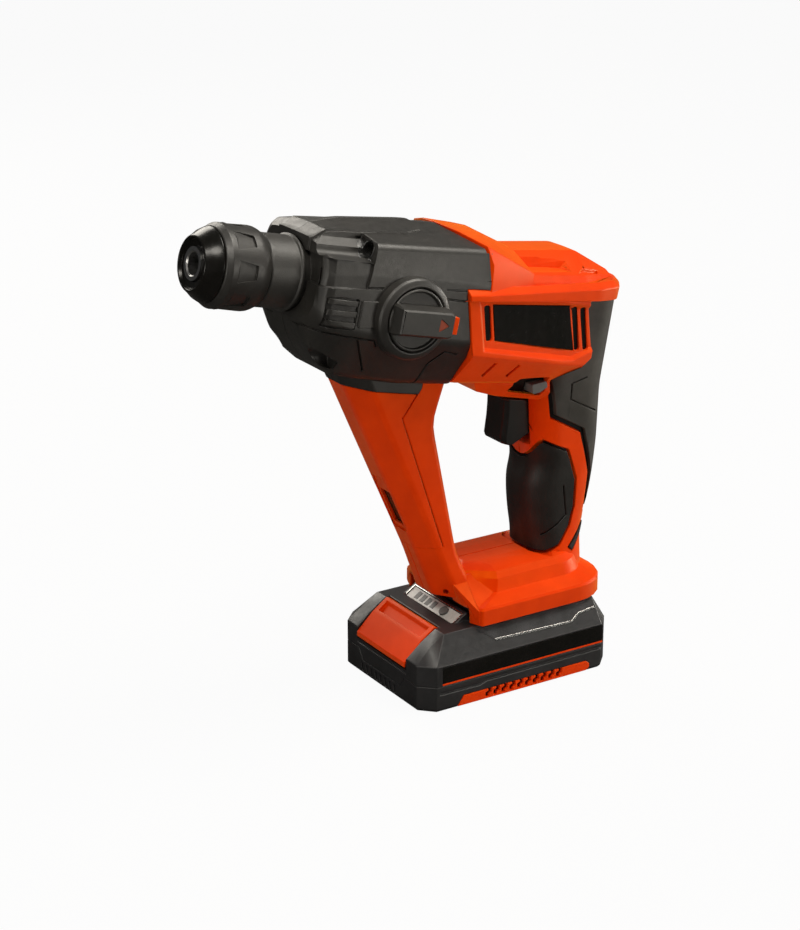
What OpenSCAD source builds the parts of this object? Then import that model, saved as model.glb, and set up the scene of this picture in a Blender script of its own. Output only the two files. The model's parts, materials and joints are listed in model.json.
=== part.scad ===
// Cordless rotary hammer: shank chuck, gear head, closed handle and slide-on battery.
// X runs rearwards, Y to the tool's right, Z up. The origin is the middle of the battery's base.
// The axis frame has x rearwards along the tool axis and z square to it. It is used for the head.

/* [Tool] */
// Nose-up angle of the tool axis over the base
axis_tilt = 13; // [11:0.5:15.5]
// Height of the tool axis over the middle of the base
axis_z = 191; // [186:1:230]
// Length of the gear head along the axis
head_len = 85; // [82:1:102]
// Wall of the moulded shells
wall = 2.6; // [2.2:0.1:3.2]
// Gap between pieces that lie close
gap = 0.4; // [0.3:0.05:0.5]
// Thickness of the soft grip pads
pad_t = 2.6; // [2:0.1:3.2]

/* [Chuck] */
// Diameter of the bit's shank
shank_d = 10; // [9:0.1:12]
// Outer diameter of the fixed neck
neck_d = 33; // [30:0.5:40]
// How far the locking sleeve stands over the neck
sleeve_rise = 2.4; // [2:0.1:3]
// Length of neck that shows between head and sleeve
neck_len = 17.5; // [14:0.5:22]
// Length of the locking sleeve
sleeve_len = 22.6; // [20:0.2:27.2]
// Way the sleeve is pulled back
sleeve_travel = 5; // [4:0.5:6]
// Running clearance of turning and sliding fits, on the radius
fit = 0.05; // [0.03:0.01:0.1]

/* [Gears] */
// Module of the gears on the spindle
spindle_module = 1; // [0.95:0.01:1.02]
// Teeth of the countershaft pinion
pinion_teeth = 13; // [12:1:14]
// Teeth of the spindle gear
spindle_teeth = 39; // [38:1:40]
// Module of the motor gears
motor_module = 0.8; // [0.75:0.01:0.82]
// Teeth of the motor pinion
motor_teeth = 10; // [10:1:12]
// Teeth of the countershaft gear
counter_teeth = 30; // [28:1:30]
// Play between gear teeth
backlash = 0.16; // [0.1:0.02:0.2]
// Swing of the wobble ring to each side
wobble_angle = 14; // [11:1:16]

/* [Motor] */
// Diameter of the motor can
motor_d = 36; // [30:0.5:44]
// Length of the motor can
motor_len = 57; // [47:1:69]

/* [Selector] */
// Diameter of the selector's dial
dial_d = 28.4; // [23.6:0.2:32]
// Width of the ring around the selector
bezel_w = 3.8; // [3:0.1:4.6]
// Length of the selector's bar, from the middle to the pointer
bar_len = 18.6; // [17:0.2:22.4]

/* [Trigger] */
// Way the trigger is pulled
trigger_travel = 6; // [4:0.5:7.5]
// Half way of the direction switch, to each side
switch_travel = 3; // [2:0.5:4]

/* [Battery] */
// Diameter of a cell
cell_d = 18.5; // [15.4:0.1:22]
// Length of a cell
cell_l = 65; // [60:1:78]
// Room in the battery's length beside the five cells
case_room_l = 11.8; // [11:0.1:14.4]
// Room in the battery's width beside a cell
case_room_w = 6.8; // [6:0.1:9]
// Room between the cells and the battery's deck, under the foot
deck_room = 14.2; // [13:0.1:17]
// Height of the battery's lower case
seam_z = 12; // [10:0.5:14]
// Way the release button is pressed
latch_travel = 3; // [2:0.5:3.5]

/* [Hidden] */
eps = 0.1;
tiny = 0.05;
orange = "#f2560d";
black = "#33312e";
rubber = "#2b2a28";
steel = "#b5b8bc";
brass = "#c9a24a";
cell_blue = "#3d6ea8";
board_green = "#2f6b3c";

// Stations along the tool axis
head_rear = -21;
head_front = head_rear - head_len;
neck_front = head_front - neck_len;
sleeve_rear = neck_front - 0.5;
sleeve_front = sleeve_rear - sleeve_len;
cap_rear = sleeve_front - 0.3;
nose = cap_rear - 7.6;
neck_r = neck_d / 2;
sleeve_r = neck_r + sleeve_rise;
neck_bore_r = neck_r - 2.5;
neck_flange = 2;
shank_r = shank_d / 2 + fit;

// Spindle
tip_r = shank_r + 2.45;
holder_r = shank_r + 3.95;
journal_r = shank_r + 5.45;
tube_r = journal_r + 3.5;
piston_r = tube_r - 3;
striker_r = piston_r - 3;
anvil_r = shank_r + 1.95;
tip_front = nose + 0.7;
holder_front = nose + 4.5;
holder_rear = neck_front + 2.5;
tube_front = head_front + 6;
tube_rear = head_rear - 37;
shank_end = head_front - 5;
anvil_end = tube_front + 4.5;
ball_r = 3;
sleeve_lip = 3;
ball_s = sleeve_front + sleeve_lip + sleeve_travel + ball_r + 2 * gap;
washer_s = sleeve_rear - 1.4;
spring_room = sleeve_travel + 3.4;

// Gear train, set by the tooth counts
counter_h = -spindle_module * (spindle_teeth + pinion_teeth) / 2;
motor_h = counter_h + motor_module * (motor_teeth + counter_teeth) / 2;
stroke = -counter_h * tan(wobble_angle);
counter_r = 4;
bearing_web = 0.8;
rear_bearing_r = tube_r + 3.2;
counter_bearing_r = -counter_h - rear_bearing_r - bearing_web;
rotor_r = 2.2;
bracket_s = head_rear - 63;
bracket_t = 7;
flange_s = head_rear - 7;
flange_t = 6;
spindle_gear_s = head_rear - 51;
spindle_gear_t = 8;
wobble_s = head_rear - 22;
hub_r = 8;
hub_t = 12;
ring_r = 11.8;
ring_t = 7;
counter_gear_s = head_rear - 14.5;
counter_gear_t = 5.5;
piston_front = head_rear - 67.5;
piston_rear = wobble_s - stroke - 2.5;
tail_rear = wobble_s + 7;
tail_hw = 7.5;
tail_hh = 4.4;
can_s = head_rear + 2;
can_rear = can_s + motor_len;
fan_s = can_rear + 3.5;
fan_t = 5;
shaft_rear = fan_s + fan_t + 1;
motor_r = motor_d / 2;

// Head sections: station, ridge, top edge y z, shoulder y z, side y z, bottom y z
head_sections = [
  [head_front, neck_r + 1, 11, neck_r + 0.5, neck_r + 2.5, 14, neck_r + 6.5, -13, 14, -neck_r - 2],
  [head_front + 8, neck_r + 7, 14, neck_r + 6, neck_r + 11.5, 19, neck_r + 14.5, -17, 17, -29],
  [head_front + 22, 27.5, 14.5, 24.7, 30, 21.3, 34, -19, 18, -42],
  [head_rear - 31, 30, 15, 26.7, 31.6, 22.6, 36, -19, 21, -43],
  [head_rear, 29, 16, 27.5, 32, 24, 37, -18.5, 24, -41]
];

// Motor housing sections, same order
house_rear = can_rear + 12;
house_sections = [
  [head_rear, 22, 20, 20, 35.5, 8, 37, -25, 24, -40],
  [house_rear - 20, 20, 17, 18, 31.5, 8, 32.5, -26, 22, -38],
  [house_rear, 18, 14, 15, 28, 7, 28.5, -26, 20, -33]
];

// Hood over the motor: seat height, roof sections and brim outline
hood_seat = 3;
roof_sections = [
  [head_rear, 25, 14, 23.5, 30, 14, 33, 9, 33, hood_seat],
  [house_rear - 11, 25.5, 12, 24, 22, 16, 26, 11, 26, hood_seat],
  [house_rear + 19, 15.5, 10, 15, 15, 12, 17, 11, 17, hood_seat]
];
brim_front_t = 3.5;
brim_rear_t = 8;
brim_rear = house_rear + 25;
brim_outline = [
  [head_rear, 38.5],
  [house_rear, 29.5],
  [brim_rear - 8, 20],
  [brim_rear, 9]
];

// Battery case, sized by its cells, and the foot over it
cell_pitch = cell_d + 0.1;
cell_count = 5;
cell_z = wall + 0.2 + cell_d / 2;
cell_x0 = 3.6 - 2 * cell_pitch;
battery_l = cell_count * cell_pitch + 2 * wall + case_room_l;
battery_w = cell_l + 2 * wall + case_room_w;
deck_z = cell_z + cell_d / 2 + deck_room;
bat_hl = battery_l / 2;
bat_hw = battery_w / 2;
bat_corner = 7;
front_lip_z = seam_z + 11;
side_lip_z = seam_z + 15;
deck_inset = 8.5;

// Vents and plates on the sides of the motor housing, in the axis frame
vent_stations = [-17, 39, 44.5];
vent_w = 2.6;
vent_low = -18;
vent_high = 0;
plate_outline = [[-12, -20], [-12, 0.5], [34, 1.5], [34, -19]];

// Strut from head to foot: height, front, rear, half width, front and rear corner radius
foot_z = deck_z + 0.5;
foot_edge_z = foot_z + 9;
foot_top_z = foot_z + 13;
strut_top = zg(head_rear - 40, -36);
strut_kink = zg(head_rear - 2, -62);
strut_low = foot_top_z + 19;
strut_slope = 0.44;
strut_foot_x = -26;
strut_sections = [
  [foot_z + 10, strut_foot_x, -12, 18.5, 10, 6],
  [strut_low, strut_front(strut_low), -21, 15.5, 12, 6],
  [strut_kink, strut_front(strut_kink), -35, 16.5, 13, 6],
  [strut_top, strut_front(strut_top), xg(head_rear + 8, -42), 16.5, 13, 6]
];

// Handle: height, front, rear, half width, front and rear corner radius
grip_low = foot_top_z + 26;
grip_mid = grip_low + 20;
grip_top = zg(38, -72);
handle_sections = [
  [foot_z + 9, 26, 55, 19, 12, 12],
  [grip_low, 22.6, 57.5, 16.5, 14, 12],
  [grip_mid, 22, 61, 17.5, 15, 13],
  [grip_top, 23.5, 62.5, 18.5, 15, 13],
  [zg(35, -45), 22, 62, 21, 12, 14],
  [zg(60, 6), 40, 70, 21, 8, 14]
];

// Foot and its rail channel
foot_front = -bat_hl + 32.5;
foot_rear = bat_hl + 5;
foot_hw = bat_hw - 3;
rail_hw = 25.4;
rail_neck_hw = 21.4;
rail_lip_z = foot_z + 3.3;
rail_top_z = foot_z + 6.8;
rail_front = -bat_hl + 37;
rail_rear = bat_hl - 15;

// Trigger and switch, in the axis frame
trigger_hw = 8.8;
trigger_front = 20;
trigger_rear = 40;
trigger_top = -49.5;
trigger_bottom = -70.5;
stem_h = (trigger_top + trigger_bottom) / 2;
stem_r = 3;
switch_s = trigger_rear + trigger_travel + 2;
switch_rear = switch_s + 19;
direction_s = 23;
direction_rear = 32;
direction_h = -43;
direction_t = 4;
guard_front = 4;
guard_h = -47.5;
guard_hw = 20;
direction_hw = guard_hw + switch_travel;

// Selector on the left of the head, in the axis frame
knob_s = head_rear - 39;
knob_h = -9;
knob_shaft_r = 4;
knob_y = -37.2;
bezel_r = dial_d / 2 + gap + bezel_w;
dial_t = 3.4;
bar_t = 6.4;
bar_hw = 7.2;

// Gauge, release button and trims on the battery
gauge_front = -bat_hl + 25.4;
gauge_crest = -bat_hl + 34;
gauge_rear = -bat_hl + 35.4;
gauge_low = deck_z - 1.5;
gauge_top = deck_z + 4;
gauge_hw = 22.6;
gauge_angle = atan((gauge_top - gauge_low) / (gauge_crest - gauge_front));
gauge_len = norm([gauge_crest - gauge_front, gauge_top - gauge_low]);
gauge_button_r = 2.4;
gauge_button_y = -9.5;
button_hw = 21.6;
button_front = -bat_hl - 0.6;
button_rear = -bat_hl + 18.5;
latch_rear = -bat_hl + 11;
latch_base = seam_z + 3.5;
trim_front = -bat_hl + 19;
trim_rear = bat_hl - 14;
trim_z = 0.8;
trim_h = 4.8;
trim_t = 1.8;
contact_ys = [-15, -5, 5, 15];
case_screw_x = -bat_hl + 6.5;
case_screw_ys = [-26, 26];

// Screws across the housing, and along the axis into the bracket
screw_r = 1.7;
screw_head_r = 3;
house_screws = [
  [44, foot_top_z + 13],
  [xg(60, -22), zg(60, -22)],
  [-32, (strut_kink + strut_low) / 2]
];
head_screw_y = 19;
head_screw_h = -27;
head_screw_s = head_front + 16;

// Axis frame to row frame
function xg(s, h) = s * cos(axis_tilt) + h * sin(axis_tilt);
function zg(s, h) = axis_z - s * sin(axis_tilt) + h * cos(axis_tilt);
function strut_front(z) = strut_foot_x - 11 - strut_slope * (z - strut_low);

module on_axis() {
  translate([0, 0, axis_z])
    rotate([0, axis_tilt, 0])
      children();
}

// Turned piece on the axis frame's x, from points of radius and station
module lathe(points, h = 0, y = 0) {
  on_axis()
    translate([0, y, h])
      rotate([0, 90, 0])
        rotate_extrude($fn = 96)
          polygon(points);
}

// Tube from station a to station b
module tube(r_out, r_in, a, b, h = 0, y = 0) {
  lathe([[r_in, a], [r_out, a], [r_out, b], [r_in, b]], h, y);
}

// Rod from station a to station b
module rod(r, a, b, h = 0, y = 0) {
  lathe([[0, a], [r, a], [r, b], [0, b]], h, y);
}

// Box in the axis frame
module axis_box(s0, s1, y0, y1, h0, h1) {
  on_axis()
    translate([s0, y0, h0])
      cube([s1 - s0, y1 - y0, h1 - h0]);
}

// Box in the row frame
module row_box(x0, x1, y0, y1, z0, z1) {
  translate([x0, y0, z0])
    cube([x1 - x0, y1 - y0, z1 - z0]);
}

// Profile in x and z, drawn across y
module across(points, y0, y1) {
  translate([0, y1, 0])
    rotate([90, 0, 0])
      linear_extrude(y1 - y0)
        polygon(points);
}

// Rod across y, in the row frame
module cross_rod(x, z, r, y0, y1, n = 32) {
  translate([x, y0, z])
    rotate([-90, 0, 0])
      cylinder(r = r, h = y1 - y0, $fn = n);
}

// One half of what is drawn: side -1 is the left
module half(side) {
  intersection() {
    children();
    row_box(-200, 200, side < 0 ? -100 : 0, side < 0 ? 0 : 100, -10, 320);
  }
}

// Section outline with its mirror image
function mirrored(p) = concat(p, [for (i = [len(p) - 1:-1:0]) [-p[i][0], p[i][1]]]);
function section(e) = mirrored([[0.01, e[1]], [e[2], e[3]], [e[4], e[5]], [e[6], e[7]], [e[8], e[9]]]);

// Body through axis-frame sections, shrunk by inset, its ends moved
module sections(list, inset = 0, front = 0, rear = 0) {
  last = len(list) - 1;
  on_axis()
    hull()
      for (i = [0:last])
        translate([list[i][0] + (i == 0 ? front : 0) + (i == last ? rear - eps : 0), 0, 0])
          rotate([90, 0, 90])
            linear_extrude(eps)
              offset(delta = -inset)
                polygon(section(list[i]));
}

// Rounded rectangle: front x0, rear x1, half width, corner radii
function arc(x, y, r, a) = [for (i = [0:4]) [x + r * cos(a + i * 22.5), y + r * sin(a + i * 22.5)]];
function rounded(x0, x1, hw, r0, r1) = concat(
  arc(x1 - r1, hw - r1, r1, 0),
  arc(x0 + r0, hw - r0, r0, 90),
  arc(x0 + r0, r0 - hw, r0, 180),
  arc(x1 - r1, r1 - hw, r1, 270)
);
function inset_row(e, d) = rounded(e[1] + d, e[2] - d, e[3] - d, max(e[4] - d, 1), max(e[5] - d, 1));

// Upright body through row-frame sections, shrunk by inset
module upright(list, inset = 0) {
  for (i = [0:len(list) - 2])
    hull() {
      translate([0, 0, list[i][0]])
        linear_extrude(eps)
          polygon(inset_row(list[i], inset));
      translate([0, 0, list[i + 1][0]])
        linear_extrude(eps)
          polygon(inset_row(list[i + 1], inset));
    }
}

// Wound wire along z: mean radius, wire radius, turns, length
spring_sides = 6;
spring_rings = 8;
function ring_point(r, w, a, z, b) = [(r + w * cos(b)) * cos(a), (r + w * cos(b)) * sin(a), z + w * sin(b)];
module wire_spring(r, w, turns, length) {
  n = turns * spring_rings;
  m = spring_sides;
  rise = length - 2 * w;
  echo(coil_gap = rise / turns - 2 * w);
  points = [for (i = [0:n]) for (j = [0:m - 1])
    ring_point(r, w, i * 360 / spring_rings, w + rise * i / n, -j * 360 / m)];
  walls = [for (i = [0:n - 1]) for (j = [0:m - 1]) let (a = i * m + j, b = i * m + (j + 1) % m)
    each [[a, b, b + m], [a, b + m, a + m]]];
  start = [[for (j = [m - 1:-1:0]) j]];
  end = [[for (j = [0:m - 1]) n * m + j]];
  polyhedron(points, concat(walls, start, end));
}

// Involute gear outline with a tooth centred at angle turn
pressure = 25;
function inv(a) = tan(a) * 180 / PI - a;
function tooth_angle(z, m, r) = let (p = m * z / 2, b = p * cos(pressure))
  90 / z - backlash / 4 / p * 180 / PI + inv(pressure) - inv(acos(min(1, b / r)));
function gear_outline(z, m, turn) = let (
    p = m * z / 2,
    base = p * cos(pressure),
    root = p - 1.05 * m,
    tip = p + 0.8 * m,
    low = max(base, root) + 0.01,
    radii = [for (i = [0:4]) low + (tip - low) * i / 4],
    foot = tooth_angle(z, m, low)
  ) [for (k = [0:z - 1]) let (c = turn + k * 360 / z) each concat(
    [polar(root, c - foot)],
    [for (r = radii) polar(r, c - tooth_angle(z, m, r))],
    [for (i = [4:-1:0]) polar(radii[i], c + tooth_angle(z, m, radii[i]))],
    [polar(root, c + foot)]
  )];
function polar(r, a) = [r * cos(a), r * sin(a)];

// Gear on the axis frame's x: angle 90 points along the frame's z
module gear(z, m, turn, bore, a, t, h = 0) {
  on_axis()
    translate([a, 0, h])
      rotate([90, 0, 90])
        difference() {
          linear_extrude(t)
            polygon(gear_outline(z, m, turn));
          translate([0, 0, -1])
            cylinder(r = bore, h = t + 2, $fn = 64);
        }
}

// Chuck

module dust_cap() {
  color(rubber)
    lathe([
      [tip_r, nose + 1.2],
      [tip_r + 1.1, nose],
      [tip_r + 3.1, nose],
      [tip_r + 3.9, nose + 0.8],
      [sleeve_r - 2, cap_rear - 1],
      [sleeve_r - 2.4, cap_rear],
      [holder_r, cap_rear],
      [holder_r, holder_front],
      [tip_r, holder_front]
    ]);
}

module locking_sleeve() {
  back = sleeve_rear - sleeve_len * 0.27;
  spring_seat = washer_s - spring_room;
  color(black)
    difference() {
      lathe([
        [holder_r + gap, sleeve_front],
        [sleeve_r - 3.7, sleeve_front],
        [sleeve_r - 2.9, sleeve_front + 1],
        [sleeve_r - 0.6, sleeve_front + 5],
        [sleeve_r, sleeve_front + 8],
        [sleeve_r, back],
        [sleeve_r - 0.7, back + 3],
        [neck_r + 1.2, sleeve_rear],
        [neck_r + gap, sleeve_rear],
        [neck_r + gap, spring_seat],
        [holder_r + 3.4, spring_seat],
        [holder_r + 3.4, sleeve_front + sleeve_lip],
        [holder_r + gap, sleeve_front + sleeve_lip]
      ]);
      for (i = [0:7])
        on_axis()
          rotate([i * 45, 0, 0])
            translate([sleeve_front + 6.5, 0, sleeve_r - 0.7])
              linear_extrude(5)
                polygon([[0, -3.4], [0, 3.4], [10, 5], [10, -5]]);
    }
}

module sleeve_spring() {
  color(steel)
    on_axis()
      translate([washer_s - spring_room + eps, 0, 0])
        rotate([0, 90, 0])
          wire_spring((neck_r + holder_r + 3.4) / 2, 0.4, 3, spring_room - 2 * eps);
}

module spring_washer() {
  color(steel)
    tube(neck_r - 0.6, holder_r, washer_s, washer_s + 1.3);
}

module lock_balls() {
  color(steel)
    for (side = [-1, 1])
      on_axis()
        translate([ball_s, side * (shank_r + ball_r + 0.15), 0])
          sphere(r = ball_r, $fn = 48);
}

module spindle() {
  color(steel)
    difference() {
      lathe([
        [shank_r + 0.6, tip_front],
        [tip_r, tip_front],
        [tip_r, holder_front],
        [holder_r, holder_front],
        [holder_r, holder_rear],
        [journal_r, holder_rear],
        [journal_r, tube_front],
        [tube_r, tube_front],
        [tube_r, tube_rear],
        [piston_r + fit, tube_rear],
        [piston_r + fit, anvil_end],
        [anvil_r + fit, anvil_end],
        [anvil_r + fit, shank_end],
        [shank_r, shank_end],
        [shank_r, tip_front + 0.6]
      ]);
      for (side = [-1, 1])
        on_axis()
          translate([ball_s, side * shank_r * 0.9, 0])
            rotate([-90 * side, 0, 0])
              cylinder(r = ball_r + 0.1, h = 8, $fn = 48);
    }
}

module spindle_gear() {
  color(steel)
    gear(spindle_teeth, spindle_module, -90, tube_r, spindle_gear_s, spindle_gear_t);
}

module beat_piece() {
  back = anvil_end - 0.5;
  front = back - 10.5;
  color(steel)
    lathe([[0, front], [4.5, front], [anvil_r, front + 2.5], [anvil_r, back - 2], [4.5, back], [0, back]]);
}

module striker() {
  front = piston_front + 0.5;
  color(steel)
    lathe([
      [0, front],
      [4.5, front],
      [4.5, front + 2.5],
      [striker_r, front + 4],
      [striker_r, front + 20],
      [0, front + 20]
    ]);
}

module piston() {
  color(steel)
    difference() {
      union() {
        lathe([
          [striker_r + fit, piston_front],
          [piston_r, piston_front],
          [piston_r, piston_rear],
          [0, piston_rear],
          [0, piston_rear - 8],
          [striker_r + fit, piston_rear - 8]
        ]);
        axis_box(piston_rear - 1, tail_rear, -tail_hw, tail_hw, -tail_hh, tail_hh);
      }
      on_axis()
        translate([wobble_s, 0, -10])
          cylinder(r = 3.4, h = 20, $fn = 48);
    }
}

// What carries the spindle

module neck_sleeve() {
  inner = head_front + wall + tiny;
  color(black)
    lathe([
      [neck_bore_r, neck_front],
      [neck_r - 0.6, neck_front],
      [neck_r, neck_front + 0.6],
      [neck_r, inner],
      [neck_r + neck_flange, inner],
      [neck_r + neck_flange, inner + 3],
      [neck_bore_r, inner + 3]
    ]);
}

module spindle_seal() {
  color(rubber)
    tube(neck_bore_r, journal_r + 0.25, holder_rear + 0.5, holder_rear + 4);
}

module front_bearing() {
  color(steel)
    tube(neck_bore_r, journal_r + fit, holder_rear + 5, holder_rear + 14);
}

module rear_bearing() {
  color(steel)
    tube(rear_bearing_r, tube_r + fit, bracket_s, bracket_s + bracket_t);
}

module spindle_bracket() {
  color(steel)
    difference() {
      intersection() {
        sections(head_sections, wall + tiny, wall, 1);
        axis_box(bracket_s, bracket_s + bracket_t, -60, 60, -60, 60);
      }
      rod(rear_bearing_r, bracket_s - 1, bracket_s + bracket_t + 1);
      rod(counter_bearing_r, bracket_s - 1, bracket_s + bracket_t + 1, counter_h);
      for (side = [-1, 1])
        rod(screw_r, bracket_s - 1, bracket_s + bracket_t + 1, head_screw_h, side * head_screw_y);
    }
}

module gearbox_flange() {
  color(steel)
    difference() {
      intersection() {
        sections(head_sections, wall + tiny, wall, 1);
        axis_box(flange_s, flange_s + flange_t, -60, 60, -60, 60);
      }
      rod(rotor_r + 4, flange_s - 1, flange_s + flange_t + 1, motor_h);
      rod(counter_r + 3.5, flange_s - 1, flange_s + flange_t + 1, counter_h);
    }
}

// Countershaft and wobble drive

module countershaft() {
  color(steel)
    rod(counter_r, bracket_s + 0.5, flange_s + flange_t - 0.5, counter_h);
}

module countershaft_gear() {
  color(steel)
    gear(counter_teeth, motor_module, 90, counter_r, counter_gear_s, counter_gear_t, counter_h);
}

module countershaft_pinion() {
  color(steel)
    gear(pinion_teeth, spindle_module, 90 + 180 / pinion_teeth, counter_r, spindle_gear_s - 1,
      spindle_gear_t + 2, counter_h);
}

module wobble_hub() {
  color(steel)
    difference() {
      intersection() {
        on_axis()
          translate([wobble_s, 0, counter_h])
            sphere(r = hub_r, $fn = 64);
        axis_box(wobble_s - hub_t / 2, wobble_s + hub_t / 2, -20, 20, counter_h - 20, counter_h + 20);
      }
      rod(counter_r, wobble_s - 20, wobble_s + 20, counter_h);
    }
}

module wobble_ring() {
  color(steel) {
    difference() {
      union() {
        rod(ring_r, wobble_s - ring_t / 2, wobble_s + ring_t / 2, counter_h);
        on_axis()
          translate([wobble_s, 0, counter_h])
            cylinder(r = 1.9, h = -counter_h, $fn = 48);
        on_axis()
          translate([wobble_s, 0, counter_h])
            cylinder(r = 3.2, h = ring_r + 1.6, $fn = 48);
        on_axis()
          translate([wobble_s, 0, 0])
            sphere(r = 3, $fn = 48);
      }
      rod(hub_r + 0.3, wobble_s - 20, wobble_s + 20, counter_h);
    }
  }
}

module countershaft_bearings() {
  color(steel) {
    tube(counter_bearing_r, counter_r + fit, bracket_s, bracket_s + bracket_t, counter_h);
    tube(counter_r + 3.5, counter_r + fit, flange_s, flange_s + flange_t, counter_h);
  }
}

// Motor

module motor_can() {
  color(steel)
    lathe([
      [6.2, can_s],
      [motor_r, can_s],
      [motor_r, can_rear],
      [6, can_rear],
      [6, can_rear - 3],
      [motor_r - 3, can_rear - 3],
      [motor_r - 3, can_s + 2],
      [6.2, can_s + 2]
    ], motor_h);
}

module rotor() {
  core = motor_r - 3.6;
  color(brass)
    lathe([
      [0, counter_gear_s - 1],
      [rotor_r, counter_gear_s - 1],
      [rotor_r, can_s + 9],
      [core, can_s + 9],
      [core, can_rear - 21],
      [9, can_rear - 21],
      [9, can_rear - 11],
      [rotor_r, can_rear - 11],
      [rotor_r, shaft_rear],
      [0, shaft_rear]
    ], motor_h);
}

module motor_pinion() {
  color(steel)
    gear(motor_teeth, motor_module, -90 + 180 / motor_teeth, rotor_r, counter_gear_s - 0.5,
      counter_gear_t + 1, motor_h);
}

module cooling_fan() {
  color(black) {
    difference() {
      union() {
        lathe([
          [0, fan_s],
          [5, fan_s],
          [5, fan_s + fan_t - 1.2],
          [motor_r - 3, fan_s + fan_t - 1.2],
          [motor_r - 3, fan_s + fan_t],
          [0, fan_s + fan_t]
        ], motor_h);
        for (i = [0:8])
          on_axis()
            translate([fan_s + 0.5, 0, motor_h])
              rotate([i * 40, 0, 0])
                translate([0, -0.6, 4])
                  cube([fan_t - 1, 1.2, motor_r - 8]);
      }
      rod(rotor_r, fan_s - 1, fan_s + fan_t + 1, motor_h);
    }
  }
}

module motor_bearings() {
  color(steel) {
    tube(rotor_r + 4, rotor_r + fit, flange_s, flange_s + flange_t, motor_h);
    tube(6, rotor_r + fit, can_rear - 3, can_rear, motor_h);
  }
}

// Gear head

module strut_front_region() {
  across([
    [-120, strut_low - 4],
    [strut_front(strut_low) + 7, strut_low + 5],
    [xg(head_rear - 20, -60), zg(head_rear - 20, -60)],
    [xg(head_rear - 13, -45), zg(head_rear - 13, -45)],
    [xg(head_rear - 13, 0), zg(head_rear - 13, 0)],
    [-120, zg(head_rear - 13, 0)]
  ], -40, 40);
}

module head_shell() {
  difference() {
    union() {
      sections(head_sections);
      intersection() {
        upright(strut_sections, -1);
        strut_front_region();
        axis_box(-120, head_rear, -40, 40, -48, -30);
      }
    }
    sections(head_sections, wall, wall, 1);
    rod(neck_r + tiny, head_front - 5, head_front + 10);
    on_axis()
      translate([knob_s, 0, knob_h])
        rotate([90, 0, 0])
          cylinder(r = knob_shaft_r + fit, h = 60, $fn = 48);
  }
}

// Bosses round the two screws at the front of the head
module head_bosses() {
  intersection() {
    sections(head_sections, 0.5);
    for (side = [-1, 1])
      rod(5.2, head_front, bracket_s - tiny, head_screw_h, side * head_screw_y);
  }
}

module head_screw_holes() {
  for (side = [-1, 1]) {
    rod(screw_r + 0.1, head_front - 5, bracket_s + 1, head_screw_h, side * head_screw_y);
    rod(screw_head_r + 0.2, head_front - 5, head_screw_s, head_screw_h, side * head_screw_y);
  }
}

module gear_housing(side) {
  color(black)
    half(side)
      difference() {
        union() {
          head_shell();
          head_bosses();
        }
        head_screw_holes();
        rod(neck_r + neck_flange + 0.2, head_front + wall, bracket_s);
      }
}

module gear_housing_left() {
  gear_housing(-1);
}

module gear_housing_right() {
  gear_housing(1);
}

module gear_housing_screws() {
  color(steel)
    for (side = [-1, 1])
      lathe([
        [0, head_screw_s - 2.4],
        [screw_head_r, head_screw_s - 2.4],
        [screw_head_r, head_screw_s],
        [screw_r, head_screw_s],
        [screw_r, bracket_s + bracket_t],
        [0, bracket_s + bracket_t]
      ], head_screw_h, side * head_screw_y);
}

// Selector

// Turned piece across y at the selector, from points of radius and height over its base
module knob_lathe(points) {
  on_axis()
    translate([knob_s, knob_y, knob_h])
      rotate([90, 0, 0])
        rotate_extrude($fn = 96)
          polygon(points);
}

module knob_bezel() {
  color(black)
    difference() {
      knob_lathe([
        [dial_d / 2 + gap, -6],
        [bezel_r, -6],
        [bezel_r, 0],
        [bezel_r - 1.5, 2.6],
        [dial_d / 2 + gap, 2.6]
      ]);
      sections(head_sections, -tiny);
    }
}

module mode_knob() {
  color(black)
    difference() {
      union() {
        knob_lathe([
          [0, -12],
          [knob_shaft_r, -12],
          [knob_shaft_r, 0.4],
          [dial_d / 2 - 1, 0.4],
          [dial_d / 2, 1.4],
          [dial_d / 2, dial_t],
          [0, dial_t]
        ]);
        on_axis()
          translate([knob_s, knob_y - dial_t + 0.5, knob_h])
            rotate([90, 0, 0])
              linear_extrude(bar_t + 0.5)
                polygon([
                  [-dial_d / 2 + 0.6, -bar_hw + 1.5],
                  [-dial_d / 2 + 2, -bar_hw],
                  [bar_len - 3, -bar_hw],
                  [bar_len, -bar_hw + 3],
                  [bar_len, bar_hw - 3],
                  [bar_len - 3, bar_hw],
                  [-dial_d / 2 + 2, bar_hw],
                  [-dial_d / 2 + 0.6, bar_hw - 1.5]
                ]);
        on_axis()
          translate([knob_s + 2, knob_y + 11, knob_h])
            rotate([-90, 0, 0])
              cylinder(r = 1.5, h = 3.5, $fn = 32);
      }
      axis_box(knob_s + bar_len - 5, knob_s + bar_len + 1, knob_y - dial_t - 4.6, knob_y - dial_t - 0.8,
        knob_h - 3.4, knob_h + 3.4);
    }
}

module knob_lock_button() {
  color(orange)
    axis_box(knob_s + bar_len - 3, knob_s + bar_len + 0.4, knob_y - dial_t - 4.4, knob_y - dial_t - 1,
      knob_h - 3.2, knob_h + 3.2);
}

// Motor housing, handle and foot

module foot_solid() {
  hull() {
    translate([0, 0, foot_z])
      linear_extrude(foot_edge_z - foot_z)
        polygon(rounded(foot_front, foot_rear, foot_hw, 8, 26));
    translate([0, 0, foot_top_z])
      linear_extrude(eps)
        polygon(rounded(foot_front + 8, foot_rear - 6, foot_hw - 9, 6, 18));
  }
}

module guard_solid(inset = 0) {
  hull() {
    axis_box(guard_front + inset, 45, -guard_hw + inset, guard_hw - inset, -36, -34);
    axis_box(guard_front + 6 + inset, 45, -15 + inset, 15 - inset, guard_h + inset, -43);
  }
}

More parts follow.
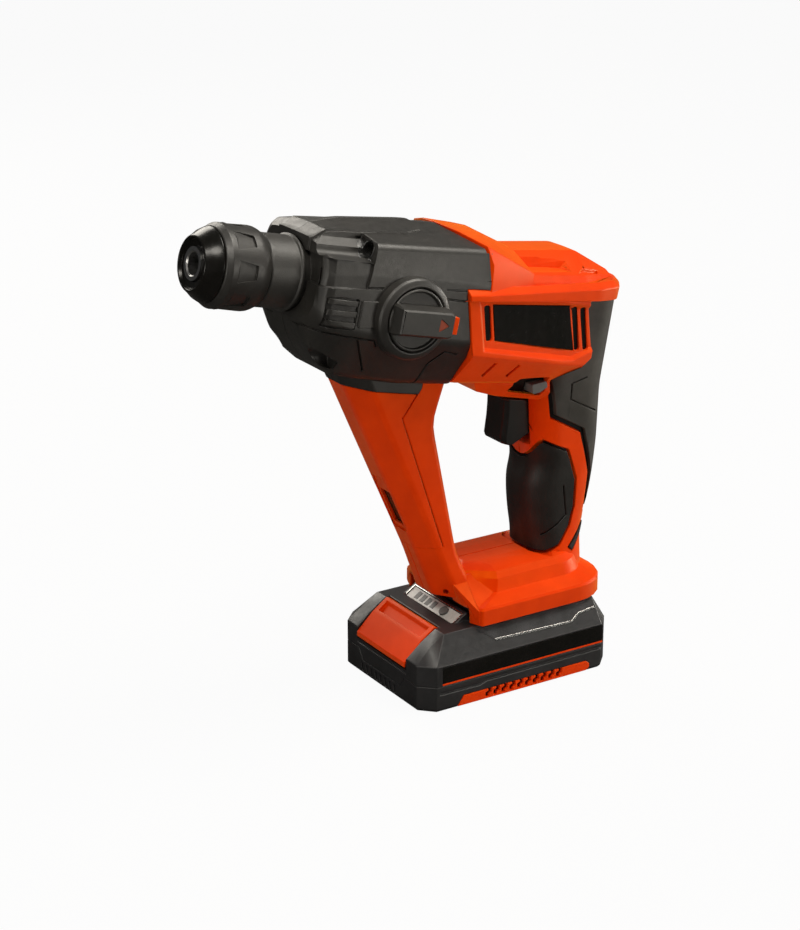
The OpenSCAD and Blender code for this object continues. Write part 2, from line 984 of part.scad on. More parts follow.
// Space over the hood's seat, left free by everything under it
module over_seat() {
  axis_box(-200, 200, -100, 100, hood_seat, 100);
}

module gauge_block(grow = 0, ahead = 0) {
  across([
    [gauge_front - ahead - grow, deck_z - 4],
    [gauge_front - ahead - grow, gauge_low + grow],
    [gauge_front - grow * 0.5, gauge_low + grow],
    [gauge_crest, gauge_top + grow],
    [gauge_rear + grow, gauge_top + grow],
    [gauge_rear + grow, deck_z - 4]
  ], -gauge_hw - grow, gauge_hw + grow);
}

module rail_channel() {
  row_box(foot_front - 20, rail_rear + gap, -rail_neck_hw - gap, rail_neck_hw + gap, foot_z - 1, rail_top_z + gap);
  row_box(foot_front - 20, rail_rear + gap, -rail_hw - gap, rail_hw + gap, rail_lip_z - gap, rail_top_z + gap);
  row_box(rail_rear - 1, rail_rear + 8, -rail_neck_hw - gap, rail_neck_hw + gap, foot_z - 1, rail_top_z + gap);
  gauge_block(gap + 0.2, 30);
}

module grip_region_rear() {
  across([
    [xg(49, 20), zg(49, 20)],
    [xg(49, 3), zg(49, 3)],
    [xg(59, -17), zg(59, -17)],
    [xg(50, -28), zg(50, -28)],
    [xg(37, -36.5), zg(37, -36.5)],
    [xg(43.5, -55), zg(43.5, -55)],
    [xg(62.5, -61), zg(62.5, -61)],
    [54, grip_mid],
    [54, grip_low],
    [60, grip_low - 8],
    [120, grip_low - 8],
    [120, zg(49, 20)]
  ], -40, 40);
}

module grip_region_front() {
  across([
    [0, grip_top - 1],
    [24, grip_top + 3],
    [41, grip_top - 4],
    [47, grip_mid - 8],
    [45, grip_low - 4],
    [29, foot_top_z + 8],
    [0, foot_top_z + 11]
  ], -40, 40);
}

module house_outer() {
  difference() {
    union() {
      sections(house_sections);
      upright(handle_sections);
      guard_solid();
    }
    over_seat();
  }
}

module house_inner() {
  intersection() {
    union() {
      sections(house_sections, wall, -1, -wall);
      upright(handle_sections, pad_t + wall);
    }
    row_box(-200, 200, -100, 100, foot_top_z + 4, 320);
  }
}

// Ribs that hold the motor can
module motor_ribs() {
  difference() {
    intersection() {
      sections(house_sections, 0.5);
      union() {
        axis_box(can_s + 12, can_s + 15, -60, 60, -60, hood_seat);
        axis_box(can_rear - 12, can_rear - 9, -60, 60, -60, hood_seat);
      }
    }
    rod(motor_r + tiny, can_s, can_rear, motor_h);
  }
}

module screw_bosses() {
  for (p = house_screws)
    cross_rod(p[0], p[1], screw_r + 2.6, -12.5, 12.5, 24);
}

module screw_holes() {
  for (p = house_screws) {
    cross_rod(p[0], p[1], screw_r + 0.2, -10, 10, 24);
    cross_rod(p[0], p[1], screw_head_r + 0.3, 7, 40, 24);
  }
}

module housing(side) {
  color(orange)
    half(side)
      difference() {
        union() {
          difference() {
            union() {
              house_outer();
              foot_solid();
              upright(strut_sections);
            }
            house_inner();
            upright([strut_sections[1], strut_sections[2], strut_sections[3]], wall);
          }
          motor_ribs();
          intersection() {
            screw_bosses();
            union() {
              upright(handle_sections, 1);
              upright(strut_sections, 1);
            }
          }
        }
        screw_holes();
        strut_front_region();
        sections(head_sections, -tiny, 0, tiny);
        rail_channel();
        intersection() {
          difference() {
            upright(handle_sections, -2);
            upright(handle_sections, pad_t);
          }
          union() {
            grip_region_rear();
            grip_region_front();
          }
        }
        trigger_slot();
        axis_box(direction_s - 0.5, direction_rear + 0.5, -40, 40, direction_h - 0.5,
          direction_h + direction_t + 0.5);
        side_vents();
        side_plates_solid(tiny);
        row_box(rail_rear - 14, rail_rear + 8, -20, 20, foot_z - 1, rail_top_z + gap);
      }
}

module housing_left() {
  housing(-1);
}

module housing_right() {
  housing(1);
}

module housing_screws() {
  color(steel)
    for (p = house_screws) {
      cross_rod(p[0], p[1], screw_r, -9, 7.5, 48);
      cross_rod(p[0], p[1], screw_head_r, 7.4, 9.8, 48);
    }
}

// Vent slots beside the plates
module side_vents() {
  for (s = vent_stations)
    axis_box(s, s + vent_w, -60, 60, vent_low, vent_high);
}

// Plain plates on the left and right of the motor, sunk half way into the wall
module side_plates_solid(grow = 0) {
  difference() {
    on_axis()
      translate([0, 60, 0])
        rotate([90, 0, 0])
          linear_extrude(120)
            offset(delta = grow)
              polygon(plate_outline);
    sections(house_sections, wall / 2 + grow, -5, 5);
  }
}

module side_plates() {
  color(black)
    intersection() {
      side_plates_solid();
      sections(house_sections, -0.2);
    }
}

// Hood

module brim_solid(inset = 0) {
  outline = mirrored([for (p = brim_outline) [p[1], p[0]]]);
  on_axis()
    hull() {
      translate([0, 0, hood_seat])
        linear_extrude(brim_front_t)
          rotate([0, 0, -90])
            mirror([1, 0, 0])
              offset(delta = -inset)
                polygon(outline);
      translate([0, 0, hood_seat + brim_rear_t])
        linear_extrude(eps)
          rotate([0, 0, -90])
            mirror([1, 0, 0])
              intersection() {
                offset(delta = -inset - 1)
                  polygon(outline);
                translate([-60, house_rear - 20])
                  square([120, 100]);
              }
    }
}

module rear_hood() {
  color(orange)
    difference() {
      union() {
        sections(roof_sections);
        brim_solid();
      }
      difference() {
        sections(roof_sections, wall, -1, -wall);
        axis_box(-100, 200, -60, 60, hood_seat - 20, hood_seat - 10);
      }
      axis_box(head_rear - 1, house_rear - wall, -22, 22, -60, hood_seat + 9);
      sections(head_sections, -tiny, 0, tiny);
    }
}

// Strut

module strut_cover() {
  color(orange)
    difference() {
      intersection() {
        upright(strut_sections);
        strut_front_region();
        axis_box(-140, 100, -40, 40, -200, -48 - tiny);
      }
      upright([for (i = [1:3]) strut_sections[i]], wall);
      row_box(-120, 0, -40, 40, 0, strut_low - 2.2);
      lamp_hole(0);
    }
}

// Lamp window on the front of the strut
module lamp_hole(shrink) {
  across([
    [-80, strut_low + 14 + shrink],
    [0, strut_low + 14 + shrink],
    [0, strut_low + 36 - shrink],
    [-80, strut_low + 36 - shrink]
  ], -5.5 + shrink, 5.5 - shrink);
}

module led_lens() {
  color("#e8ece8")
    intersection() {
      lamp_hole(tiny);
      difference() {
        upright(strut_sections, 0.8);
        upright(strut_sections, wall);
      }
      strut_front_region();
    }
}

module led_board() {
  mid = strut_low + 25;
  lean = atan(strut_slope);
  color(board_green)
    translate([strut_front(mid) + wall + 1.2, 0, mid])
      rotate([0, -lean, 0])
        row_box(0, 1.6, -7, 7, -12, 12);
}

// Grips

module rear_grip() {
  color(rubber)
    difference() {
      intersection() {
        difference() {
          upright(handle_sections);
          upright(handle_sections, pad_t);
        }
        grip_region_rear();
      }
      over_seat();
      sections(house_sections, -tiny, 0, tiny);
      screw_holes();
    }
}

module front_grip() {
  color(rubber)
    difference() {
      intersection() {
        upright(handle_sections);
        grip_region_front();
      }
      upright(handle_sections, pad_t);
      trigger_slot();
    }
}

// Trigger

// Slot in the handle that the trigger moves in
module trigger_slot() {
  axis_box(5, switch_s, -trigger_hw - gap, trigger_hw + gap, trigger_bottom - 3 * gap, trigger_top + 1);
}

module trigger() {
  color(rubber) {
    on_axis()
      difference() {
        across([
          [trigger_front, trigger_top],
          [trigger_front + 3.5, trigger_top - 6],
          [trigger_front + 4.5, trigger_top - 12],
          [trigger_front + 3.5, trigger_bottom + 3],
          [trigger_front + 5, trigger_bottom],
          [trigger_rear, trigger_bottom],
          [trigger_rear, trigger_top]
        ], -trigger_hw, trigger_hw);
        across([
          [trigger_front + 8, trigger_top - 3],
          [trigger_front + 8, trigger_bottom + 3],
          [trigger_rear + 1, trigger_bottom + 3],
          [trigger_rear + 1, trigger_top - 3]
        ], -trigger_hw + 2.5, trigger_hw - 2.5);
      }
    rod(stem_r, trigger_front + 7, switch_s + 3, stem_h);
  }
}

module trigger_spring() {
  color(steel)
    on_axis()
      translate([trigger_front + 8.2, 0, stem_h])
        rotate([0, 90, 0])
          wire_spring(4.6, 0.5, 9, switch_s - trigger_front - 8.4);
}

module switch_body() {
  color(black)
    difference() {
      axis_box(switch_s, switch_rear, -10, 10, trigger_bottom - 1, trigger_top + 2);
      rod(stem_r + fit, switch_s - 1, switch_s + 3 + trigger_travel + 1, stem_h);
    }
}

module direction_switch() {
  color(black)
    axis_box(direction_s, direction_rear, -direction_hw, direction_hw, direction_h, direction_h + direction_t);
}

module terminal_block() {
  color(brass)
    union() {
      row_box(rail_rear + 1, rail_rear + 7.5, -19, 19, foot_z + 0.6, rail_top_z);
      for (y = contact_ys)
        row_box(rail_rear - 12, rail_rear + 2, y - 0.5, y + 0.5, foot_z + 1.5, rail_top_z - 1.2);
    }
}

// Battery

function plan(inset) = let (a = bat_hl - inset, b = bat_hw - inset, c = bat_corner - inset * 0.4) [
  [-a + c, -b], [a - c, -b], [a, -b + c], [a, b - c], [a - c, b], [-a + c, b], [-a, b - c], [-a, -b + c]];

module battery_lower_case() {
  color(black)
    difference() {
      linear_extrude(seam_z)
        polygon(plan(0));
      translate([0, 0, wall])
        linear_extrude(seam_z)
          polygon(plan(wall));
      trim_solid(tiny);
      for (y = case_screw_ys)
        translate([case_screw_x, y, -1]) {
          cylinder(r = screw_r + 0.1, h = seam_z, $fn = 48);
          cylinder(r = screw_head_r + 0.2, h = 2.4, $fn = 48);
        }
    }
}

module battery_shape(inset) {
  hull() {
    translate([0, 0, seam_z])
      linear_extrude(front_lip_z - seam_z - inset * 0.5)
        polygon(plan(inset));
    translate([0, 0, seam_z])
      linear_extrude(side_lip_z - seam_z - inset * 0.5)
        intersection() {
          polygon(plan(inset));
          translate([-bat_hl + 5 + inset, -bat_hw])
            square([battery_l, battery_w]);
        }
    translate([0, 0, deck_z - eps - inset])
      linear_extrude(eps)
        polygon(rounded(-bat_hl + 14 + inset, bat_hl - 7 - inset, bat_hw - deck_inset - inset, 3, 6));
  }
}

// Release button, or the space it sweeps: grown all round, its underside lowered, its top raised
module button_profile(grow = 0, drop = 0, rise = 0) {
  low = grow + drop;
  across([
    [button_front - grow, front_lip_z - 4 - low],
    [button_front - grow, front_lip_z + 1 + rise],
    [button_rear - 2, deck_z + 0.6 + rise],
    [button_rear + grow, deck_z - 0.4 + rise],
    [button_rear + grow, deck_z - 7.5 - low],
    [latch_rear + 1, deck_z - 8.5 - low],
    [latch_rear, front_lip_z - 2 - low],
    [-bat_hl + 4, front_lip_z - 2 - low],
    [-bat_hl + 3, front_lip_z - 4 - low]
  ], -button_hw - grow, button_hw + grow);
}

module battery_upper_case() {
  color(black)
    difference() {
      union() {
        difference() {
          union() {
            battery_shape(0);
            gauge_block();
          }
          translate([0, 0, -tiny])
            battery_shape(wall);
        }
        row_box(rail_front, rail_rear, -rail_neck_hw, rail_neck_hw, deck_z - 1, rail_top_z);
        row_box(rail_front, rail_rear, -rail_hw, rail_hw, rail_lip_z, rail_top_z);
        row_box(-bat_hl + 1, latch_rear, -12, 12, latch_base - 2, latch_base);
        for (y = case_screw_ys)
          intersection() {
            translate([case_screw_x, y, seam_z])
              cylinder(r = 4.4, h = 9, $fn = 48);
            battery_shape(1);
          }
      }
      button_profile(gap, latch_travel + gap, 20);
      for (y = contact_ys)
        row_box(rail_rear - 13, rail_rear + 1, y - 0.9, y + 0.9, foot_z + 1, rail_top_z + 1);
      for (y = case_screw_ys)
        translate([case_screw_x, y, seam_z - 1])
          cylinder(r = screw_r, h = 8, $fn = 48);
      gauge_place()
        gauge_panel(gap / 4, 1.4);
      gauge_place()
        translate([gauge_len / 2, gauge_button_y, -3])
          cylinder(r = gauge_button_r + 0.15, h = 5, $fn = 48);
    }
}

// Frame of the gauge's slope: x up the slope, z out of it
module gauge_place() {
  translate([gauge_front, 0, gauge_low])
    rotate([0, -gauge_angle, 0])
      children();
}

module gauge_panel(grow, depth) {
  translate([1.5 - grow, -gauge_hw + 3 - grow, -depth])
    cube([gauge_len - 3 + 2 * grow, 2 * gauge_hw - 6 + 2 * grow, depth + (grow > 0 ? 1 : 0)]);
}

module gauge_window() {
  color("#dfe3e0")
    difference() {
      gauge_place()
        gauge_panel(0, 1.4);
      gauge_place()
        translate([gauge_len / 2, gauge_button_y, -3])
          cylinder(r = gauge_button_r + 0.15, h = 5, $fn = 48);
    }
}

module gauge_button() {
  color("#c9cbc8")
    gauge_place()
      translate([gauge_len / 2, gauge_button_y, -2.2])
        cylinder(r = gauge_button_r, h = 2.9, $fn = 48);
}

module release_button() {
  color(orange)
    button_profile();
}

module latch_spring() {
  room = front_lip_z - 2 - latch_base;
  color(steel)
    translate([latch_rear - 3.5, 0, latch_base + eps])
      wire_spring(2.4, 0.4, 2, room - 3 * eps);
}

module trim_solid(grow) {
  for (side = [-1, 1])
    translate([(trim_front + trim_rear) / 2, side * (bat_hw - trim_t / 2 + 0.2), trim_z + trim_h / 2])
      cube([trim_rear - trim_front + 2 * grow, trim_t + 0.4 + 2 * grow, trim_h + 2 * grow], center = true);
}

module battery_trims() {
  color(orange)
    difference() {
      trim_solid(0);
      for (i = [0:9])
        row_box(-17 + i * 4.6, -17 + i * 4.6 + 2.2, -60, 60, trim_z + 1.1, trim_z + 3.7);
    }
}

module battery_cells() {
  color(cell_blue)
    for (i = [0:cell_count - 1])
      cross_rod(cell_x0 + i * cell_pitch, cell_z, cell_d / 2, -cell_l / 2, cell_l / 2, 64);
}

module battery_board() {
  color(board_green)
    row_box(rail_front + 2, rail_rear - 4, -18, 18, cell_z + cell_d / 2 + 3, cell_z + cell_d / 2 + 4.6);
}

module battery_screws() {
  color(steel)
    for (y = case_screw_ys)
      translate([case_screw_x, y, 0]) {
        translate([0, 0, 1.4])
          cylinder(r = screw_r, h = seam_z + 4, $fn = 48);
        translate([0, 0, 0.2])
          cylinder(r = screw_head_r, h = 1.2, $fn = 48);
      }
}

dust_cap();
locking_sleeve();
sleeve_spring();
spring_washer();
lock_balls();
spindle();
spindle_gear();
beat_piece();
striker();
piston();
neck_sleeve();
spindle_seal();
front_bearing();
rear_bearing();
spindle_bracket();
gearbox_flange();
countershaft();
countershaft_gear();
countershaft_pinion();
wobble_hub();
wobble_ring();
countershaft_bearings();
motor_can();
rotor();
motor_pinion();
cooling_fan();
motor_bearings();
gear_housing_left();
gear_housing_right();
knob_bezel();
mode_knob();
knob_lock_button();
housing_left();
housing_right();
rear_hood();
side_plates();
strut_cover();
led_lens();
led_board();
rear_grip();
front_grip();
trigger();
trigger_spring();
switch_body();
direction_switch();
terminal_block();
housing_screws();
gear_housing_screws();
battery_lower_case();
battery_upper_case();
battery_trims();
battery_cells();
battery_board();
battery_screws();
release_button();
latch_spring();
gauge_window();
gauge_button();
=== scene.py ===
"""Looks of a cordless rotary hammer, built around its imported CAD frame."""
import json
import math

import bmesh
import bpy
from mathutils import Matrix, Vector


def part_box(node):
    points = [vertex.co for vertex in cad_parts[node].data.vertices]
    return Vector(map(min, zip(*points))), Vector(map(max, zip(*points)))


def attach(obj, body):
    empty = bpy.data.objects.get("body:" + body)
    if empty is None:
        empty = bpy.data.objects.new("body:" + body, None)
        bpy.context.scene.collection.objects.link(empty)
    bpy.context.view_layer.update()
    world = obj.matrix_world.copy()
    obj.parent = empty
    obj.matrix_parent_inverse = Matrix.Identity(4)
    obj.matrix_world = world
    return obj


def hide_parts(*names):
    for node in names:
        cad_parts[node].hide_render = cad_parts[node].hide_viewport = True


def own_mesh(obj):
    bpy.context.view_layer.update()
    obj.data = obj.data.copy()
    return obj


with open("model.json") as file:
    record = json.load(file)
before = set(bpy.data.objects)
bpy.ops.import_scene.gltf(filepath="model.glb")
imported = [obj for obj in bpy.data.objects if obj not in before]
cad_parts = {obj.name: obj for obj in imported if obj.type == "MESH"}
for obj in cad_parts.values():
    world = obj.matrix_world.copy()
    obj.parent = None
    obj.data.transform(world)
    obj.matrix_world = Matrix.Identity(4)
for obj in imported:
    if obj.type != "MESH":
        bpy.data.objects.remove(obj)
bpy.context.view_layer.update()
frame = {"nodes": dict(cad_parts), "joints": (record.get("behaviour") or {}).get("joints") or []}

# Units and the tool axis: lengths are millimetres, s runs rearwards along the axis and h up from it
MM = 0.001
SPIN = next(j for j in frame["joints"] if j["name"] == "spindle_spin")
COS, SIN = SPIN["axis"][0], -SPIN["axis"][2]
AXIS_Z = (SPIN["pos_m"][2] + SPIN["pos_m"][0] * SIN / COS) / MM
SIDES = (-1, 1)


def axis(s, y, h):
    return Vector((s * COS + h * SIN, y, AXIS_Z - s * SIN + h * COS))


def height(s, h):
    return axis(s, 0, h).z


def size(node):
    """Lowest and highest corner of a CAD node."""
    low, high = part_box(node)
    return low / MM, high / MM


def span(node):
    """Front station, rear station and largest radius of a turned CAD node on the axis."""
    points = [v.co / MM for v in frame["nodes"][node].data.vertices]
    stations = [p.x * COS - (p.z - AXIS_Z) * SIN for p in points]
    radii = [math.hypot(p.y, p.x * SIN + (p.z - AXIS_Z) * COS) for p in points]
    return min(stations), max(stations), max(radii)


# Ways to put an outline's two coordinates, and how far it is drawn, in space


def along(s, h, y):
    return axis(s, y, h)


def row(x, y, z):
    return Vector((x, y, z))


def across(x, z, y):
    return Vector((x, y, z))


def facing(y, z, x):
    return Vector((x, y, z))


# Outlines


def steps(first, last, count):
    return [first + (last - first) * i / count for i in range(count + 1)]


def turns(count):
    """Angles of equal steps round a circle."""
    return [2 * math.pi * i / count for i in range(count)]


def rectangle(u0, u1, v0, v1):
    return [(u0, v0), (u1, v0), (u1, v1), (u0, v1)]


def centred(u0, u1, half):
    return rectangle(u0, u1, -half, half)


def mirrored(half):
    """Outline of (across, up) points closed by its mirror image; points on the middle stay single."""
    return half + [(-y, h) for y, h in reversed(half) if y > 0.01]


def reflected(edge):
    """Outline of (lengthways, across) points closed by its mirror image."""
    return edge + [(u, -v) for u, v in reversed(edge)]


def inset(corners, depth):
    """Closed outline moved inwards by depth."""
    points = [Vector(c) for c in corners]
    count = len(points)
    area = sum(points[i - 1].cross(points[i]) for i in range(count))
    turn = 1 if area > 0 else -1
    moved = []
    for i in range(count):
        before = (points[i] - points[i - 1]).normalized()
        after = (points[(i + 1) % count] - points[i]).normalized()
        n1 = Vector((-before.y, before.x)) * turn
        n2 = Vector((-after.y, after.x)) * turn
        moved.append(points[i] + (n1 + n2) * (depth / max(1 + n1.dot(n2), 0.2)))
    return moved


def fillet(corners, radii, count=4):
    """Closed outline with every corner rounded by count + 1 points."""
    points = [Vector(c) for c in corners]
    ring = []
    for i, corner in enumerate(points):
        back = points[i - 1] - corner
        ahead = points[(i + 1) % len(points)] - corner
        half = back.angle(ahead) / 2
        reach = max(radii[i] / math.tan(half), 0.12)
        reach = min(reach, 0.47 * back.length, 0.47 * ahead.length)
        a = corner + back.normalized() * reach
        b = corner + ahead.normalized() * reach
        weight = math.sin(half)
        for t in steps(0, 1, count):
            w0, w1, w2 = (1 - t) ** 2, 2 * t * (1 - t) * weight, t * t
            ring.append((a * w0 + corner * w1 + b * w2) / (w0 + w1 + w2))
    return ring


def evenly(corners, radius):
    return fillet(corners, [radius] * len(corners))


def blend(table, place, reach):
    """Row of a table at place, with its corners rounded over reach on each side."""
    def at(t):
        i = 0
        while i < len(table) - 2 and t > table[i + 1][0]:
            i += 1
        a, b = table[i], table[i + 1]
        share = (t - a[0]) / (b[0] - a[0])
        return [p + (q - p) * share for p, q in zip(a[1:], b[1:])]
    rows = [at(place + reach * k / 4) for k in range(-4, 5)]
    return [sum(column) / len(rows) for column in zip(*rows)]


def pairs(values):
    return list(zip(values[::2], values[1::2]))


# Solids


def added(name, data):
    """New object in the scene."""
    piece = bpy.data.objects.new(name, data)
    bpy.context.scene.collection.objects.link(piece)
    return piece


def made(name, bm):
    """Mesh piece from a finished bmesh."""
    bmesh.ops.recalc_face_normals(bm, faces=bm.faces)
    mesh = bpy.data.meshes.new(name)
    bm.to_mesh(mesh)
    bm.free()
    return added(name, mesh)


def loft(rings, name="tool", closed=False):
    """Skin through rings of equal count, with its ends capped or joined to each other."""
    bm = bmesh.new()
    loops = [[bm.verts.new(p) for p in ring] for ring in rings]
    follows = loops[1:] + (loops[:1] if closed else [])
    for a, b in zip(loops, follows):
        for i in range(len(a)):
            j = (i + 1) % len(a)
            bm.faces.new((a[i], a[j], b[j], b[i]))
    if not closed:
        bm.faces.new(loops[0])
        bm.faces.new(loops[-1])
    return made(name, bm)


def prism(outline, put, low, high, name="tool"):
    """Outline put in space by put(u, v, w), drawn from w low to w high."""
    return loft([[put(u, v, w) for u, v in outline] for w in (low, high)], name)


# Half width clear of the whole object, and room between pieces that fit together
CLEAR = 60
FIT = 0.2


def through(outline):
    """Tool of a side outline on the axis, drawn through the whole width."""
    return prism(outline, along, -CLEAR, CLEAR)


def hull(points, name="tool"):
    bm = bmesh.new()
    for p in points:
        bm.verts.new(p)
    bmesh.ops.convex_hull(bm, input=bm.verts)
    bmesh.ops.dissolve_limit(bm, angle_limit=0.01, verts=bm.verts, edges=bm.edges)
    return made(name, bm)


def turned(name, profile, count=96):
    """Ring turned about the tool axis, from a closed profile of (station, radius)."""
    rings = [[axis(s, r * math.sin(a), r * math.cos(a)) for a in turns(count)] for s, r in profile]
    return loft(rings, name, closed=True)


def pin(start, end, radius, count=32):
    """Round bar from start to end."""
    line = (end - start).normalized()
    u = line.orthogonal().normalized()
    v = line.cross(u)
    ring = [u * (radius * math.cos(a)) + v * (radius * math.sin(a)) for a in turns(count)]
    return loft([[start + p for p in ring], [end + p for p in ring]])


def axis_pin(front, rear, radius, y=0, h=0, count=32):
    """Round bar along the tool axis, or beside it."""
    return pin(axis(front, y, h), axis(rear, y, h), radius, count)


def bake(piece):
    """Takes the modifiers of a piece into its mesh."""
    graph = bpy.context.evaluated_depsgraph_get()
    mesh = bpy.data.meshes.new_from_object(piece.evaluated_get(graph))
    piece.modifiers.clear()
    piece.data = mesh


def combine(piece, tool, how):
    """Applies a tool to a piece and removes the tool."""
    step = piece.modifiers.new(how, "BOOLEAN")
    step.operation = how
    step.solver = "MANIFOLD"
    step.object = tool
    bake(piece)
    bpy.data.objects.remove(tool)
    return piece


def cut(piece, *tools):
    for tool in tools:
        combine(piece, tool, "DIFFERENCE")
    return piece


def join(piece, *tools):
    for tool in tools:
        combine(piece, tool, "UNION")
    return piece


def common(piece, tool):
    return combine(piece, tool, "INTERSECT")


# Reach of a block that takes in half of anything, its strips, and half the gap on the middle seam
BIG = 300
STRIPS = [-BIG] + steps(-160, 80, 16) + [BIG]
SEAM_GAP = 0.04


def halved(piece, name, side):
    """One half of a piece, split on the middle plane in strips; side -1 is the left."""
    seam, out = SEAM_GAP * side, BIG * side
    rings = []
    for x in STRIPS:
        rings.append([row(x, y, z) for y, z in ((seam, -BIG), (seam, BIG), (out, BIG), (out, -BIG))])
    return common(added(name, piece.data.copy()), loft(rings))


# Finishing: share of room that an edge's rounding takes, angles in degrees, and lengths that are cleaned away
EDGE_SHARE = 0.4
CREASE = 19
SHARP = 32
WELD, SLIVER = 0.02, 0.01


def edge_room(edge):
    """Shortest way that the rounding of an edge can take along the edges beside it."""
    room = edge.calc_length()
    for vert in edge.verts:
        line = edge.other_vert(vert).co - vert.co
        for beside in vert.link_edges:
            other = beside.other_vert(vert).co - vert.co
            lean = line.angle(other, 0)
            if beside is not edge:
                share = 2 * math.sin(lean) if lean < math.pi / 6 else 1
                room = min(room, other.length * share)
    return room


def mark_edges(bm, width, angle):
    """Marks sharp edges for rounding, by less where there is little room beside them, and keeps creases."""
    weight = bm.edges.layers.float.new("bevel_weight_edge")
    for edge in bm.edges:
        turn = math.degrees(edge.calc_face_angle(0))
        if turn >= angle:
            edge[weight] = min(1, EDGE_SHARE * edge_room(edge) / width)
        edge.smooth = turn < CREASE or turn >= angle


def soften(piece, width, angle):
    """Turns a piece to metres, with real rounded edges and flat faces kept flat."""
    bm = bmesh.new()
    bm.from_mesh(piece.data)
    bmesh.ops.remove_doubles(bm, verts=bm.verts, dist=WELD)
    bmesh.ops.dissolve_degenerate(bm, dist=SLIVER, edges=bm.edges)
    for face in bm.faces:
        face.smooth = True
    mark_edges(bm, width, angle)
    bmesh.ops.scale(bm, vec=(MM, MM, MM), verts=bm.verts)
    bm.to_mesh(piece.data)
    bm.free()
    edge = piece.modifiers.new("edges", "BEVEL")
    edge.width = width * MM
    edge.segments = 2
    edge.limit_method = "WEIGHT"
    edge.use_clamp_overlap = False
    normals = piece.modifiers.new("normals", "WEIGHTED_NORMAL")
    normals.mode = "FACE_AREA"
    normals.weight = 90
    normals.keep_sharp = True


def paint(piece, material):
    piece.data.materials.clear()
    piece.data.materials.append(material)


def place(piece, material, body, nodes, slot, width, angle=SHARP):
    """Gives a piece its finish and sets it on its body in place of its CAD nodes."""
    if nodes:
        piece.name = nodes[0] + "_skin"
    paint(piece, material)
    soften(piece, width, angle)
    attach(piece, body)
    if nodes:
        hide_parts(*nodes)
    return piece


def place_halves(piece, name, material, slot, width):
    """Sets the left and right halves of a piece on the housing, in place of the whole."""
    for side, half in zip(SIDES, ("left", "right")):
        node = name + "_" + half
        place(halved(piece, node, side), material, "housing", [node], slot, width)
    bpy.data.objects.remove(piece)


# Materials


def fill(node, values):
    """Sets a shader node's inputs."""
    for name, value in values.items():
        node.inputs[name].default_value = value


def shader(name):
    material = bpy.data.materials.new(name)
    material.use_nodes = True
    nodes = material.node_tree.nodes
    return material, nodes, material.node_tree.links, nodes["Principled BSDF"]


def noise(nodes, links, scale, detail=3, stretch=None):
    """Noise of a given scale per metre, in the piece's own coordinates."""
    where = nodes.new("ShaderNodeTexCoord")
    source = where.outputs["Object"]
    if stretch:
        mapping = nodes.new("ShaderNodeMapping")
        fill(mapping, {"Scale": stretch})
        links.new(source, mapping.inputs["Vector"])
        source = mapping.outputs["Vector"]
    texture = nodes.new("ShaderNodeTexNoise")
    fill(texture, {"Scale": scale, "Detail": detail})
    links.new(source, texture.inputs["Vector"])
    return texture.outputs["Fac"]


def ramp(nodes, links, source, low, high):
    """Colour that goes from low to high over the middle of a noise."""
    band = nodes.new("ShaderNodeValToRGB")
    for element, position, colour in zip(band.color_ramp.elements, (0.3, 0.7), (low, high)):
        element.position = position
        element.color = (*colour, 1)
    links.new(source, band.inputs["Fac"])
    return band.outputs["Color"]


def scaled(nodes, links, source, low, high):
    """Number that goes from low to high over the middle of a noise."""
    spread = nodes.new("ShaderNodeMapRange")
    fill(spread, {"From Min": 0.25, "From Max": 0.75, "To Min": low, "To Max": high})
    links.new(source, spread.inputs["Value"])
    return spread.outputs["Result"]


def bumped(nodes, links, surface, source, strength, depth):
    """Grain on a surface, with its depth in millimetres."""
    bump = nodes.new("ShaderNodeBump")
    fill(bump, {"Strength": strength, "Distance": depth * MM})
    links.new(source, bump.inputs["Height"])
    links.new(bump.outputs["Normal"], surface.inputs["Normal"])


def moulded(name, low, high, gloss, grain, strength, specular=0.5, tint=(1, 1, 1)):
    """Moulded plastic or rubber: mottled colour, uneven gloss and an eroded grain."""
    material, nodes, links, surface = shader(name)
    links.new(ramp(nodes, links, noise(nodes, links, 90, 4), low, high), surface.inputs["Base Color"])
    links.new(scaled(nodes, links, noise(nodes, links, 400), *gloss), surface.inputs["Roughness"])
    fill(surface, {"Specular IOR Level": specular, "Specular Tint": (*tint, 1)})
    bumped(nodes, links, surface, noise(nodes, links, grain, 2), strength, 0.12)
    return material


def metal(name, low, high, gloss, stretch):
    """Turned or brushed metal, streaked one way."""
    material, nodes, links, surface = shader(name)
    streak = noise(nodes, links, 500, 4, stretch)
    links.new(ramp(nodes, links, streak, low, high), surface.inputs["Base Color"])
    links.new(scaled(nodes, links, streak, *gloss), surface.inputs["Roughness"])
    fill(surface, {"Metallic": 1})
    bumped(nodes, links, surface, streak, 0.15, 0.05)
    return material


def slant_shine(material, tint, weight):
    """Tinted shine on faces seen at a slant."""
    surface = material.node_tree.nodes["Principled BSDF"]
    fill(surface, {"Sheen Weight": weight, "Sheen Roughness": 0.4, "Sheen Tint": (*tint, 1)})


